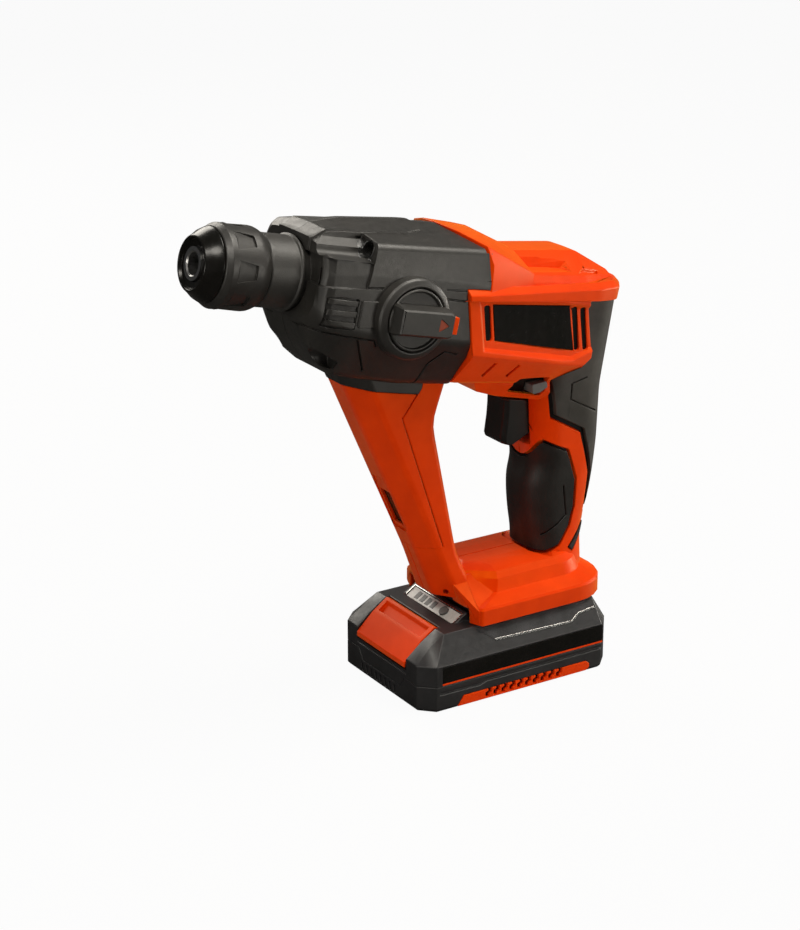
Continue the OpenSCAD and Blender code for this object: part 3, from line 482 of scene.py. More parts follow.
WARM = (1, 0.62, 0.02)
ORANGE = moulded("orange_plastic", (0.72, 0.026, 0.0004), (0.80, 0.034, 0.0006), (0.38, 0.50), 1500, 0.12,
                 0.35, WARM)
slant_shine(ORANGE, (1, 0.50, 0.03), 0.45)
DULL_ORANGE = moulded("dull_orange", (0.22, 0.026, 0.003), (0.28, 0.034, 0.004), (0.40, 0.52), 1500, 0.12)
BLACK = moulded("black_plastic", (0.012, 0.011, 0.009), (0.020, 0.018, 0.015), (0.40, 0.52), 1700, 0.42, 0.9)
NECK = moulded("grained_neck", (0.014, 0.013, 0.011), (0.026, 0.024, 0.020), (0.44, 0.54), 2200, 0.75, 1.0)
GLOSS = moulded("smooth_black", (0.004, 0.004, 0.003), (0.007, 0.006, 0.005), (0.20, 0.28), 900, 0.03, 0.35)
CASE = moulded("battery_plastic", (0.011, 0.011, 0.012), (0.018, 0.018, 0.020), (0.36, 0.48), 1900, 0.38, 0.8)
PAD = moulded("grained_pad", (0.016, 0.016, 0.017), (0.050, 0.050, 0.053), (0.34, 0.46), 1300, 1.0)
RUBBER = moulded("soft_rubber", (0.009, 0.008, 0.007), (0.015, 0.014, 0.012), (0.40, 0.52), 2600, 0.5)
# The same soft rubber painted lighter, as painted light falling on the rear grip.
PAINTED_LIGHT_RUBBER = moulded("rubber_painted_light", (0.036, 0.033, 0.028), (0.056, 0.052, 0.045), (0.46, 0.58), 2600, 0.5)
TRIGGER = moulded("trigger_plastic", (0.006, 0.006, 0.005), (0.010, 0.009, 0.008), (0.32, 0.44), 1800, 0.25)
GREY = moulded("grey_plastic", (0.11, 0.105, 0.10), (0.15, 0.145, 0.14), (0.36, 0.46), 1500, 0.2)
STEEL = metal("steel", (0.42, 0.42, 0.42), (0.60, 0.60, 0.59), (0.24, 0.40), (1, 6, 6))
ALLOY = metal("alloy", (0.50, 0.51, 0.52), (0.66, 0.66, 0.66), (0.34, 0.50), (3, 3, 3))
COPPER = metal("winding", (0.55, 0.25, 0.12), (0.75, 0.36, 0.18), (0.30, 0.45), (1, 9, 9))
BRASS = metal("contact", (0.70, 0.50, 0.22), (0.85, 0.64, 0.32), (0.25, 0.40), (2, 6, 6))
# Silver metal for the gauge's rim, and for the strip on the battery shoulder's edge that is a painted
# highlight.
SILVER_AND_PAINTED_HIGHLIGHT = metal("silver_and_painted_highlight", (0.62, 0.62, 0.60), (0.75, 0.75, 0.73), (0.20, 0.32), (3, 3, 3))
LENS = moulded("lens", (0.030, 0.016, 0.008), (0.045, 0.024, 0.012), (0.08, 0.16), 300, 0.03)
BOARD = moulded("board", (0.02, 0.12, 0.04), (0.03, 0.17, 0.06), (0.30, 0.45), 800, 0.2)
CELL = moulded("cell", (0.05, 0.13, 0.32), (0.07, 0.18, 0.42), (0.25, 0.40), 600, 0.1)
PALE = moulded("gauge_plate", (0.58, 0.58, 0.55), (0.70, 0.70, 0.67), (0.22, 0.34), 700, 0.06)


# Chuck


def flute(front, rear, radius, angle):
    """Wedge-shaped finger recess in the sleeve, deepest at its rear end."""
    c, n = math.cos(angle), math.sin(angle)
    rings = []
    for s, hw, depth in ((front, 4.9, 0.1), (rear, 3.1, 1.2)):
        across_it = [hw * k / 3 for k in range(-3, 4)]
        low = [(u, math.sqrt((radius - depth) ** 2 - u * u)) for u in across_it]
        outline = low + [(hw, radius + 4), (-hw, radius + 4)]
        rings.append([axis(s, u * c + w * n, w * c - u * n) for u, w in outline])
    return loft(rings)


def chuck():
    nose, cap_rear, cap_r = span("dust_cap")
    rim_r, bore_r = 12.2, 7.6
    cap = turned("cap", [
        (nose + 4.3, bore_r), (nose + 2.0, bore_r), (nose + 1.7, bore_r + 0.4), (nose + 1.5, rim_r - 1.5),
        (nose + 0.3, rim_r - 0.9), (nose, rim_r - 0.6), (nose, rim_r - 0.1), (nose + 0.4, rim_r + 0.4),
        (nose + 2.2, rim_r + 1.6), (nose + 4.4, cap_r - 1.3), (cap_rear - 0.9, cap_r - 0.2),
        (cap_rear - 0.4, cap_r), (cap_rear, cap_r - 0.3), (cap_rear, 9.1), (nose + 4.6, 9.1),
    ])
    place(cap, GLOSS, "spindle", ["dust_cap"], "rubber", 0.2, 20)
    front, rear, r = span("locking_sleeve")
    lip = r - 1.9
    sleeve = turned("sleeve", [
        (front, 9.5), (front, lip), (front + 0.3, lip + 0.4), (front + 2.3, r - 0.25), (front + 2.7, r),
        (rear - 5, r), (rear - 3.6, r - 0.2), (rear - 2.2, r - 0.7), (rear - 1.0, r - 1.3),
        (rear - 0.2, r - 1.7), (rear, r - 1.9), (rear, 16.95), (rear - 9.8, 16.95), (rear - 9.8, 12.4),
        (front + 3, 12.4), (front + 3, 9.5),
    ])
    flutes = 8
    for k in range(flutes):
        cut(sleeve, flute(front + 5.6, front + 14.9, r, math.radians(360 * k / flutes + 5)))
    place(sleeve, BLACK, "sleeve", ["locking_sleeve"], "black_plastic", 0.22, 20)
    front, rear, flange_r = span("neck_sleeve")
    neck_r = flange_r - 2
    neck = turned("neck", [
        (front, 14), (front, neck_r - 0.8), (front + 0.8, neck_r), (front + 14.6, neck_r),
        (front + 15.2, neck_r + 0.9), (front + 16.3, neck_r + 0.9), (front + 16.6, neck_r - 0.5),
        (rear - 3, neck_r - 0.5), (rear - 3, flange_r), (rear, flange_r), (rear, 14),
    ])
    place(neck, NECK, "housing", ["neck_sleeve"], "black_plastic", 0.2)


# Gear head: station, ridge, then y and h of plateau edge, shoulder, upper side, lower side and base
HEAD_RADII = (14, 2, 4, 12, 8, 7)
HEAD = [
    (-105.4, 18.4, 11, 18.3, 21.5, 17.2, 26.2, 7, 25, -12, 13, -18),
    (-103, 20.1, 12.5, 19.9, 26, 17.6, 30.2, 7, 30, -14.5, 16, -23),
    (-99.5, 22.8, 14.5, 22.4, 28.6, 19.6, 31, 6, 31.8, -17, 17, -29),
    (-91.5, 25, 14.4, 22.9, 29.4, 20.6, 31.8, 7, 33, -18.4, 17.8, -37.2),
    (-84, 26.8, 14.6, 23.2, 30, 21.3, 32.6, 8, 34, -19, 18, -41.8),
    (-52, 29.2, 15, 25.8, 31.6, 22.6, 34.6, 9, 36, -19, 21, -43),
    (-21, 29.2, 16, 27.6, 32, 24, 36.2, 9, 36.8, -18.5, 24, -41),
]
HEAD_STATIONS = [
    -105.4, -104.4, -103.4, -102.6, -99.9, -99.1, -95, -92, -91, -88, -84, -80, -72, -60, -53.5, -50.5, -44,
    -37, -29, -21,
]
HEAD_WALL = 3.4
KNOB_S, KNOB_H, KNOB_Y = -60, -9, -37.2


def section(values, radii, depth):
    """Ring of a skin, from its ridge and the y and h of its corners, drawn in by depth."""
    half = [(0, values[0])] + pairs(values[1:])
    reach = list(radii[:len(half)])
    return fillet(inset(mirrored(half), depth), reach + reach[:0:-1])


def skin(table, stations, reach, radii, depth, name, front=0):
    """Body lofted along the axis through a table's sections, with its first ring moved back by front."""
    rings = []
    for s in stations:
        shift = front if s == stations[0] else 0
        ring = section(blend(table, s, reach), radii, depth)
        rings.append([axis(s + shift, y, h) for y, h in ring])
    return loft(rings, name)


def head_skin(depth=0, name="tool"):
    return skin(HEAD, HEAD_STATIONS, 0.4, HEAD_RADII, depth, name, depth)


# Half widths at which tools on a side wall start: well inside it, and near it
INNER_Y, WALL_Y = 8, 20


def sunk(outline, side, skin_at, depth):
    """Tool that sinks an outline of a side wall to a depth under its skin."""
    tool = prism(outline, along, INNER_Y * side, CLEAR * side)
    return cut(tool, skin_at(depth))


def proud(outline, side, skin_at, rise):
    """Tool that raises an outline of a side wall by rise over its skin."""
    tool = prism(outline, along, WALL_Y * side, CLEAR * side)
    return common(tool, skin_at(-rise))


def inlays(name, outlines, put, skin_at, top, bottom):
    """Thin plates in both side walls of a skin, from a depth top to a depth bottom."""
    pieces = []
    for side in SIDES:
        for outline in outlines:
            piece = common(prism(outline, put, WALL_Y * side, CLEAR * side, name), skin_at(top))
            pieces.append(cut(piece, skin_at(bottom)))
    return join(*pieces)


def bar(points, width):
    """Outline of a band of a given width that follows points."""
    path = [Vector(p) for p in points]
    left, right = [], []
    for i, p in enumerate(path):
        back = (p - path[i - 1]).normalized() if i else None
        ahead = (path[i + 1] - p).normalized() if i < len(path) - 1 else back
        mean = ((back or ahead) + ahead).normalized()
        normal = Vector((-mean.y, mean.x)) * (width / 2 / max(mean.dot(ahead), 0.5))
        left.append(p + normal)
        right.append(p - normal)
    return [tuple(p) for p in left + right[::-1]]


def seam_h(s):
    """Height of the line round the head at the selector."""
    return 0.7 + 0.073 * (s + 103)


def head_side(head, side):
    """Ribs, raised block and lines on one side of the head."""
    field = [(-102.2, -17.2), (-87.2, -16.8), (-87, -3.0), (-102.2, -3.6)]
    cut(head, sunk(evenly(field, 0.8), side, head_skin, 1.1))
    for low in (-16.0, -11.2, -6.4):
        rib = [(-101.8, low), (-88, low), (-87.8, low + 2.4), (-101.6, low + 2.4)]
        join(head, proud(rib, side, head_skin, 0.7))
    block = [(-86.2, -15.6), (-76.4, -14.6), (-76.2, -3.2), (-86, -3.6)]
    join(head, proud(evenly(block, 0.8), side, head_skin, 0.8))
    lines = [
        [(-106, seam_h(-106)), (-76, seam_h(-76))],
        [(-44, seam_h(-44) - 4.2), (-33, seam_h(-33) - 5.2)],
        [(-44, seam_h(-44)), (-33, seam_h(-33) - 0.6)],
        [(-104.5, -19.6), (-76, -20.7), (-73, -24)],
        [(-84.4, -21), (-72, -37)],
        [(-30, -24.2), (-37.5, -23.3), (-42.3, -30.4), (-42.5, -44)],
    ]
    for line in lines:
        cut(head, sunk(bar(line, 0.8), side, head_skin, 0.8))


# Station clear ahead of the head, and place and radius of the depth rod's passage
HEAD_AHEAD = -112
ROD_Y, ROD_H, ROD_R = -23, 17.3, 4.2


def notch_room():
    """Open pocket for the depth rod along the left shoulder, and the round passage behind it."""
    wall = [(25.6, 14.2), (29.5, 12.8), (50, 12.8), (50, 40), (15.4, 40), (15.4, 20.5), (19, 17)]
    ends = [[axis(s + lean * h, -y, h) for y, h in wall] for s, lean in ((HEAD_AHEAD, 0), (-84, 0.15))]
    return join(loft(ends), axis_pin(HEAD_AHEAD, -71, ROD_R, ROD_Y, ROD_H))


def rod_notch(head):
    """Cuts the depth rod's pocket, with a flat panel under it."""
    backing = [(12, 24), (12, 11), (20, 9), (32, 5), (40, 5), (40, 24)]
    solid = loft([[axis(s, -y, h) for y, h in backing] for s in (-105, -67)])
    join(head, common(solid, head_skin(0.5)))
    panel = [(-107, 0.4), (-83.9, 1.6), (-82.2, 12.9), (-107, 12.9)]
    cut(head, notch_room(), sunk(panel, -1, head_skin, 1.6))


def node_copy(node):
    """Copy of a CAD node's solid, in millimetres."""
    bm = bmesh.new()
    bm.from_mesh(frame["nodes"][node].data)
    bmesh.ops.scale(bm, vec=(1 / MM, 1 / MM, 1 / MM), verts=bm.verts)
    bmesh.ops.remove_doubles(bm, verts=bm.verts, dist=0.001)
    return made("copy", bm)


def bracket():
    """Spindle bracket inside the head, clear of the depth rod's pocket."""
    piece = cut(node_copy("spindle_bracket"), notch_room())
    place(piece, ALLOY, "housing", ["spindle_bracket"], "alloy", 0.1)


CHIN_Y, CHIN_H = 18.5, -33.8


def chin_hole(head, side):
    """Deep round hole in the chin of the head, in a boss."""
    join(head, common(axis_pin(-110, -84, 5.8, CHIN_Y * side, CHIN_H), head_skin(0.5)))
    cut(head, axis_pin(HEAD_AHEAD, -86, 4.2, CHIN_Y * side, CHIN_H))


def collar():
    """Ring under the head that the strut's top pushes into."""
    ring = common(strut_skin(-0.5), strut_region(0.3))
    common(ring, through(rectangle(-95, 0, -47.9, -30)))
    return cut(ring, strut_skin(2.4))


def before_frame():
    """Tool ahead of the motor housing's front edge, a fit away from it."""
    return through([(s - FIT, h) for s, h in FRAME_FRONT])


def gear_head():
    head = head_skin(0, "head")
    plateau = reflected([(HEAD_AHEAD, -13), (-98, -14.5), (-57, -15.2), (-48.5, -12)])
    join(head, common(prism(plateau, axis, 10, CLEAR), head_skin(-0.7)))
    for side in SIDES:
        head_side(head, side)
    join(head, collar())
    cut(head, head_skin(HEAD_WALL))
    for side in SIDES:
        chin_hole(head, side)
    rod_notch(head)
    for front, radius in ((HEAD_AHEAD, 17.0), (-102.4, 18.8)):
        cut(head, axis_pin(front, -84, radius, count=96))
    cut(head, prism(rectangle(-24, 0, -50, 50), along, -32, 32))
    cut(head, front_block(0.15), frame_room())
    cut(head, cut(brim(FIT), before_frame()))
    cut(head, pin(knob_point(0, 0, 8), knob_point(0, 0, -12), 5, 48))
    place_halves(head, "gear_housing", BLACK, "black_plastic", 0.45)


# Selector


def knob_point(u, v, w):
    """Point on the selector: u rearwards, v up, w out from its base."""
    return axis(KNOB_S + u, KNOB_Y - w, KNOB_H + v)


def disc(radius, w):
    """Ring of the selector at w out from its base."""
    return [knob_point(radius * math.cos(a), radius * math.sin(a), w) for a in turns(72)]


def selector():
    r = 14.2
    bezel_r = r + 4.2
    profile = [(r + 0.4, -7), (bezel_r + 0.6, -7), (bezel_r + 0.2, 0.4), (bezel_r - 0.5, 1.5),
               (bezel_r - 1.4, 2.1), (r + 1.3, 2.6), (r + 0.8, 2.5), (r + 0.4, 1.9)]
    bezel = loft([disc(a, w) for a, w in profile], "bezel", closed=True)
    place(bezel, BLACK, "housing", ["knob_bezel"], "black_plastic", 0.2, 20)
    profile = [(4, -12), (4, 0.4), (r - 0.9, 0.4), (r, 1.2), (r, 2.4), (r - 0.4, 2.9), (r - 1.2, 2.9),
               (r - 1.6, 1.6)]
    knob = loft([disc(a, w) for a, w in profile], "knob")
    length, hw, top = 17.2, 7.2, 9.8
    base = reflected([(-r + 0.6, -hw + 1), (-r + 2, -hw), (length - 3, -hw), (length, 1.4 - hw)])
    rings = [(0, 1.2), (0.4, 5), (1.5, 8.9), (2.2, top)]
    join(knob, loft([[knob_point(u, v, w) for u, v in inset(base, d)] for d, w in rings]))
    tip_hw, tip_low, tip_high, slot_u, press = 3.9, 3.6, 8.0, length - 2.7, 1.5
    slot = centred(slot_u, length + 1, tip_hw + FIT)
    cut(knob, prism(slot, knob_point, tip_low - FIT, tip_high + FIT))
    mark = evenly([(length - 9.4, -3.0), (length - 4.4, 0), (length - 9.4, 3.0)], 0.3)
    cut(knob, prism(inset(mark, -0.1), knob_point, top - 0.5, top + 2))
    place(knob, BLACK, "mode_knob", ["mode_knob"], "black_plastic", 0.3)
    arrow = prism(mark, knob_point, top - 0.7, top - 0.2, "knob_mark")
    place(arrow, DULL_ORANGE, "mode_knob", [], "orange_plastic", 0.1)
    outline = centred(slot_u + press + FIT, length + 1.7, tip_hw)
    tip = prism(outline, knob_point, tip_low, tip_high, "tip")
    place(tip, ORANGE, "knob_lock_button", ["knob_lock_button"], "orange_plastic", 0.3)


# Motor housing: station, ridge, then y and h of top edge, upper side, lower side and base
HOUSE_RADII = (6, 4, 3, 2.2, 6)
HOUSE = [
    (-34, 22, 20, 20, 36.6, 9, 38, -23.4, 25, -39.5),
    (-21, 22, 20, 20, 36.4, 9, 37.6, -23.8, 25, -40),
    (30, 20, 17, 18, 32.2, 8, 33, -25.8, 22, -38),
    (50, 18, 14, 15, 28.4, 7, 29, -26.6, 20, -33),
    (60, 15, 11, 12, 26.4, 6, 27, -26.6, 19, -30),
]
HOUSE_STATIONS = [-34, -28, -21] + steps(-10, 60, 7)
HOUSE_BLEND, HOUSE_WALL = 3, 4.5


def seat(s):
    """Height of the seam under the hood, over the axis."""
    return 1.6 + 0.05 * (s + 26)


def over_seat(drop=0):
    """Outline of all that lies over the seam, or over a line drop below it."""
    return [(-80, seat(-80) - drop), (90, seat(90) - drop), (90, 80), (-80, 80)]


def house_skin(depth=0, name="tool"):
    return skin(HOUSE, HOUSE_STATIONS, HOUSE_BLEND, HOUSE_RADII, depth, name)


def wall_y(s, h):
    """Half width of the motor housing at its side wall."""
    (y0, h0), (y1, h1) = pairs(blend(HOUSE, s, HOUSE_BLEND)[1:])[1:3]
    return y0 + (y1 - y0) * (h - h0) / (h1 - h0)


# Handle: height, front x, rear x, half width, front and rear corner radius
RAIL_RISE = 6.8
FOOT_Z = size("battery_upper_case")[1].z - RAIL_RISE
FOOT_TOP = FOOT_Z + 13
GRIP_TOP = height(38, -72)
HANDLE = [
    (FOOT_Z + 9, 27, 54.5, 19, 12, 12),
    (FOOT_TOP + 13, 25, 55, 17, 14, 12),
    (FOOT_TOP + 26, 22.6, 57.5, 16.5, 14, 12),
    (FOOT_TOP + 36, 21.6, 60, 17, 15, 13),
    (FOOT_TOP + 44, 22, 61, 17.5, 15, 13),
    (FOOT_TOP + 50, 24.4, 61.6, 17.8, 14, 13),
    (FOOT_TOP + 55, 25, 62, 18, 14, 13),
    (GRIP_TOP - 3, 23.5, 62.3, 18.4, 13, 13),
    (GRIP_TOP + 2, 23, 62.5, 18.5, 13, 13),
    (height(35, -45), 22, 62, 21, 12, 14),
    (height(60, 6), 40, 70, 21, 8, 14),
]

# Strut: height, front x, rear x, half width, length of the front and of the rear facets
STRUT_LOW = FOOT_TOP + 19
STRUT_KINK = height(-23, -62)
STRUT_TOP = height(-61, -36)


def strut_front(z):
    return -39 - 0.44 * (z - STRUT_LOW)


STRUT = [
    (FOOT_Z + 10, -30.5, -12, 18.5, 8, 2.5),
    (STRUT_LOW, -39, -21, 15.5, 8, 2.5),
    (STRUT_KINK, strut_front(STRUT_KINK), -35, 16.5, 9, 3),
    (STRUT_TOP, strut_front(STRUT_TOP), axis(-13, 0, -42).x, 16.5, 10, 4),
]


def upright(table, count, reach, outline, depth=0, name="tool", low=0):
    """Column lofted through the rows of a table, each turned to a ring by outline."""
    rings = []
    for z in steps(table[0][0] + low, table[-1][0], count):
        corners, radii = outline(*blend(table, z, reach))
        ring = fillet(inset(corners, depth), radii, 7)
        rings.append([row(x, y, z) for x, y in ring])
    return loft(rings, name)


def handle_ring(x0, x1, hw, r0, r1):
    return reflected([(x1, hw), (x0, hw)]), (r1, r0, r0, r1)


def strut_ring(x0, x1, hw, front, rear):
    corners = reflected([(x1, hw - rear), (x1 - rear, hw), (x0 + front, hw), (x0, 0.42 * hw)])
    return corners, (1.5, 2, 5, 5, 5, 5, 2, 1.5)


def handle_skin(depth=0, name="tool", low=0):
    return upright(HANDLE, 52, 3, handle_ring, depth, name, low)


def strut_skin(depth=0, name="tool"):
    return upright(STRUT, 24, 5, strut_ring, depth, name)


# Foot: rise, how far the sides and rear, then the front, are drawn in, length and width of the front chamfer
FOOT_FRONT, FOOT_REAR, FOOT_HW = -21.5, 60, 33.6
FOOT_LEVELS = [
    (0, 0, 0, 2.5, 6.5), (7.6, 0, 0, 2.5, 6.5), (8.6, 0.8, 0.6, 3, 6.5), (11.6, 8.6, 3, 13.5, 10.5),
    (17.4, 10.6, 4.5, 13.5, 10.5), (20.2, 13.4, 6, 13, 10), (21.8, 18, 8, 11, 8), (22.6, 25, 10, 6, 3),
]


def foot():
    """Foot over the battery: upright rim, wide sloped ledge, then a steep wall up to the saddle."""
    rings = []
    for rise, depth, drawn, back, aside in FOOT_LEVELS:
        front, rear, hw = FOOT_FRONT + drawn, FOOT_REAR - depth, FOOT_HW - depth
        corners = reflected([(rear, hw), (front + back, hw), (front, hw - aside)])
        radius = max(22 - depth * 0.6, 6)
        ring = fillet(corners, (radius, 1.5, 1.5, 1.5, 1.5, radius), 6)
        rings.append([row(x, y, FOOT_Z + rise) for x, y in ring])
    return loft(rings)


def buttress(side):
    """Sloped facet from the strut's root down to the front corner of the foot."""
    top = [(-25.8, 15, 18.6), (-17.2, 15, 19), (-20, 32.2, 7.2), (-4, 25.4, 10.2), (-8, 12, 19)]
    low = [(-20, 32.2, 1), (-4, 25.4, 1), (-21, 26, 1), (-21, 12, 1), (-8, 12, 1)]
    return hull([row(x, y * side, FOOT_Z + z) for x, y, z in top + low])


def foot_hole(side):
    """Small screw hole in the front of the strut's root."""
    middle, out = row(-25.4, 12.4 * side, FOOT_Z + 12.6), row(-0.79, 0.61 * side, 0)
    return pin(middle + out * 4, middle - out * 3, 1.5)


def guard():
    """Bulge over the trigger."""
    ends = [(-12, 24, -34), (46, 21, -34), (-11.6, 23.5, -37.3), (-2, 16, -45.2), (9.5, 15.5, -46.8),
            (46, 15.5, -47.5), (46, 20, -43)]
    return hull([axis(s, y * side, h) for s, y, h in ends for side in SIDES])


def xz(s, h):
    p = axis(s, 0, h)
    return p.x, p.z


# Grips: outlines and fine lines in x and z, then thickness, gap and rise of the pads
REAR_GRIP = [
    xz(42.4, 24), xz(43.4, 4), xz(51.2, -17.2), xz(51.4, -22.8), xz(35.4, -35.8), xz(43, -55), xz(62.5, -61),
    (54, FOOT_TOP + 46), (54, FOOT_TOP + 26), (60, FOOT_TOP + 18), (120, FOOT_TOP + 18), (120, 260),
]
FRONT_GRIP = [
    (0, GRIP_TOP + 5), (26, GRIP_TOP + 5), (27.6, GRIP_TOP + 3.1), (32.9, GRIP_TOP + 0.3), (40, GRIP_TOP - 3),
    (42.3, FOOT_TOP + 54.5), (45.8, FOOT_TOP + 44.4), (45.8, FOOT_TOP + 30), (43.1, FOOT_TOP + 20.1),
    (37, FOOT_TOP + 11), (30.6, FOOT_TOP + 7.8), (26.2, FOOT_TOP + 7.5), (0, FOOT_TOP + 6.5),
]
LIP_HALF = [
    (0, -7.7), (4, -6.7), (7.5, -4.3), (10.25, -1.7), (12.25, 0.7), (13.75, 2.4), (15.5, 3.1), (15.5, 20),
]
FRONT_LIP = mirrored([(y, GRIP_TOP + z) for y, z in LIP_HALF])
REAR_LINE = [(48.2, 145.8), (39.1, 143.9), (38.9, 135.7), (56, 126.5)]
FRONT_LINE = [(38.3, FOOT_TOP + 42), (40.7, FOOT_TOP + 26), (28.4, FOOT_TOP + 17)]
STRIP = bar([(54, FOOT_TOP + 18.8), (43.5, FOOT_TOP + 8.1)], 2.4)
GRIP_T, GRIP_GAP, PAD_RISE = 2.4, 0.6, 0.3
LINE_W, LINE_DEPTH = 0.7, 0.6


def pad_region(outline, grow=0):
    """Part of the handle that a pad takes; the front pad leaves the lip under the trigger."""
    solid = prism(inset(outline, -grow), across, -40, 40)
    if outline is FRONT_GRIP:
        cut(solid, prism(inset(FRONT_LIP, grow), facing, -20, 29))
    return solid


def grip_room(outline):
    tool = common(pad_region(outline, GRIP_GAP), handle_skin(-3))
    return cut(tool, handle_skin(GRIP_T))


def strut_region(grow=0):
    """Part of the strut that its cover takes, in x and z."""
    edge = [
        (-140, STRUT_LOW - 4), (-30 + grow, STRUT_LOW + 5), xz(-41 + grow, -60), xz(-34 + grow, -45),
        xz(-34 + grow, 0), (-140, height(-34, 0)),
    ]
    return prism(edge, across, -40, 40)


def trigger_room():
    """Space that the trigger moves in."""
    low, high = -73.4, -48.5
    outline = [(5, low), (38.2, low), (46.2, -66.6), (48, -66.6), (48, high), (5, high)]
    return prism(outline, along, -9.2, 9.2)


# Side of the motor housing, in stations and heights
FRAME_FRONT = [(-33.8, 9), (-23.9, -25.6), (-24.4, -37), (-24.4, -60), (-70, -60), (-70, 20), (-33.8, 20)]
PLATE = [(-16.1, -0.1), (30.3, 2), (38.6, -19.1), (-11.4, -16.4)]
PANEL = [(-26, 1.5), (46.5, 2.4), (53, -18), (38.5, -23.6), (-18.6, -21.4)]
PANEL_DEPTH, PANEL_SLOPE = 1.9, 1.6
VENTS = [
    [(-21.7, -0.6), (-17.9, -0.4), (-13.1, -16.7), (-16.9, -16.9)],
    [(32.4, 1.5), (36.0, 1.6), (42.8, -19.0), (39.2, -19.2)],
    [(38.0, 1.5), (41.6, 1.6), (48.8, -18.8), (45.2, -19.0)],
]
SWITCH_POCKET = evenly([(13, -43.5), (14, -35.5), (31, -33.5), (34, -38), (33, -44.5)], 1.2)
SWITCH_TAB = [(24, -38.6), (31.8, -36.4), (33.2, -39), (29.4, -42), (25.4, -43)]
SLITS = [[(-8.1, -26.8), (-9.9, -34.9)], [(6.4, -27.2), (4.4, -34.2)]]


def panel_recess(side):
    """Shallow recess in the housing's side, with sloped walls."""
    rings = []
    for step in (-1, 1):
        outline = inset(PANEL, step * PANEL_SLOPE)
        rings.append([axis(s, side * (wall_y(s, h) - step * PANEL_DEPTH), h) for s, h in outline])
    return loft(rings)


def motor_side(body, side):
    """Recess, vents, seat of the side plate and slits in one side of the motor housing."""
    cut(body, panel_recess(side))
    for vent in VENTS:
        cut(body, sunk(evenly(vent, 1.2), side, house_skin, 7))
    cut(body, sunk(inset(PLATE, -0.3), side, house_skin, PANEL_DEPTH + 2))
    for slit in SLITS:
        cut(body, sunk(bar(slit, 1.5), side, house_skin, 2.6))


def motor_body():
    """Motor housing under the hood, ahead of the rear grip."""
    body = house_skin(0, "housing")
    for side in SIDES:
        motor_side(body, side)
    cut(body, house_skin(HOUSE_WALL), through(FRAME_FRONT))
    return cut(body, prism(inset(REAR_GRIP, -GRIP_GAP), across, -CLEAR, CLEAR))


def frame_room():
    """Space that the motor housing takes behind the gear head."""
    return cut(house_skin(-FIT), through(over_seat()), before_frame())


def pocket_floor(side):
    """Black floor of the direction switch's pocket, with room for the switch."""
    rings = [[axis(s, 11 * side, h) for s, h in SWITCH_POCKET],
             [axis(s, (19.4 + 0.6 * (h + 36)) * side, h) for s, h in SWITCH_POCKET]]
    name = "switch_pocket_left" if side < 0 else "switch_pocket_right"
    return cut(loft(rings, name), through(inset(SWITCH_TAB, -0.4)))


def housing():
    body = join(motor_body(), guard(), handle_skin())
    cut(body, through(over_seat()), house_skin(HOUSE_WALL))
    join(body, foot(), cut(strut_skin(), head_skin(-0.15)), buttress(-1), buttress(1))
    cut(body, strut_region(0.5), handle_skin(6, "tool", 14))
    for region in (REAR_GRIP, FRONT_GRIP, STRIP):
        cut(body, grip_room(region))
    cut(body, trigger_room())
    for side in SIDES:
        cut(body, prism(SWITCH_POCKET, along, 12 * side, 40 * side))
        place(pocket_floor(side), TRIGGER, "housing", [], "black_plastic", 0.2)
    cut(body, foot_hole(-1), foot_hole(1))
    rail_top = size("battery_upper_case")[1].z + 0.4
    gauge_top = size("gauge_window")[1].z + 1.6
    for rear, hw, top in ((41, 25.8, rail_top), (-18.8, 23.2, gauge_top)):
        cut(body, prism(centred(-60, rear, hw), row, FOOT_Z - 2, top))
    place_halves(body, "housing", ORANGE, "orange_plastic", 0.5)


def plates():
    """Plain side plates, and dark plates set behind the vents as painted shade in their hollows."""
    plate = inlays("plates", [PLATE], along, house_skin, PANEL_DEPTH + 0.2, PANEL_DEPTH + 1.8)
    place(plate, GLOSS, "housing", ["side_plates"], "black_plastic", 0.3)
    # Painted shade: black sheets inside the walls stand in for the shade in the vents.
    outlines = [inset(vent, -0.4) for vent in VENTS]
    shade = inlays("vent_painted_shade", outlines, along, house_skin, PANEL_DEPTH + 1.0, PANEL_DEPTH + 2.2)
    place(shade, GLOSS, "housing", [], "black_plastic", 0.1)


# Hood: station, ridge, then y and h of the flat top's edge, the eaves, the ledge and the seat
ROOF_RADII = (20, 2, 2.4, 2, 1)
ROOF_STATIONS = (-25, -10, 8, 20, 30, 38, 40.5, 42, 43.5, 46, 55, 64)
HOOD_SEAT = 3
ROOF = [
    (-25, 19.5, 10, 19.4, 31, 13.5, 33.4, 9, 33.4, HOOD_SEAT),
    (8, 22, 10, 21.9, 28.4, 14.9, 30, 11, 30, HOOD_SEAT),
    (42, 25.2, 10, 25, 23, 15.6, 25.6, 12.4, 25.6, HOOD_SEAT),
    (64, 17.6, 9, 17.4, 12.5, 16, 15, 14, 15, HOOD_SEAT),
]
BRIM = [(-40, 38.2), (-21, 38.2), (48, 30.4), (61, 26), (70.5, 13)]


def roof_skin(depth=0):
    return skin(ROOF, ROOF_STATIONS, 2, ROOF_RADII, depth, "hood")


def brim_top(s):
    return 4.1 + 8.8 * (s + 26) / 96


def brim(grow=0):
    """Lip round the roof: upright edge, sloped ledge, then a fine groove against the roof."""
    radii = [1.5, 30, 24, 14, 12]
    rings = []
    for level, depth, rise in (
            (seat, 0, 0), (brim_top, 0, 0), (brim_top, 0.8, 0.9), (brim_top, 3.2, 3.0), (brim_top, 4.0, 2.4)):
        ring = fillet(inset(reflected(BRIM), depth - grow), radii + radii[::-1], 6)
        lift = grow if rise else -grow
        rings.append([axis(s, y, level(s) + rise + lift) for s, y in ring])
    return loft(rings)


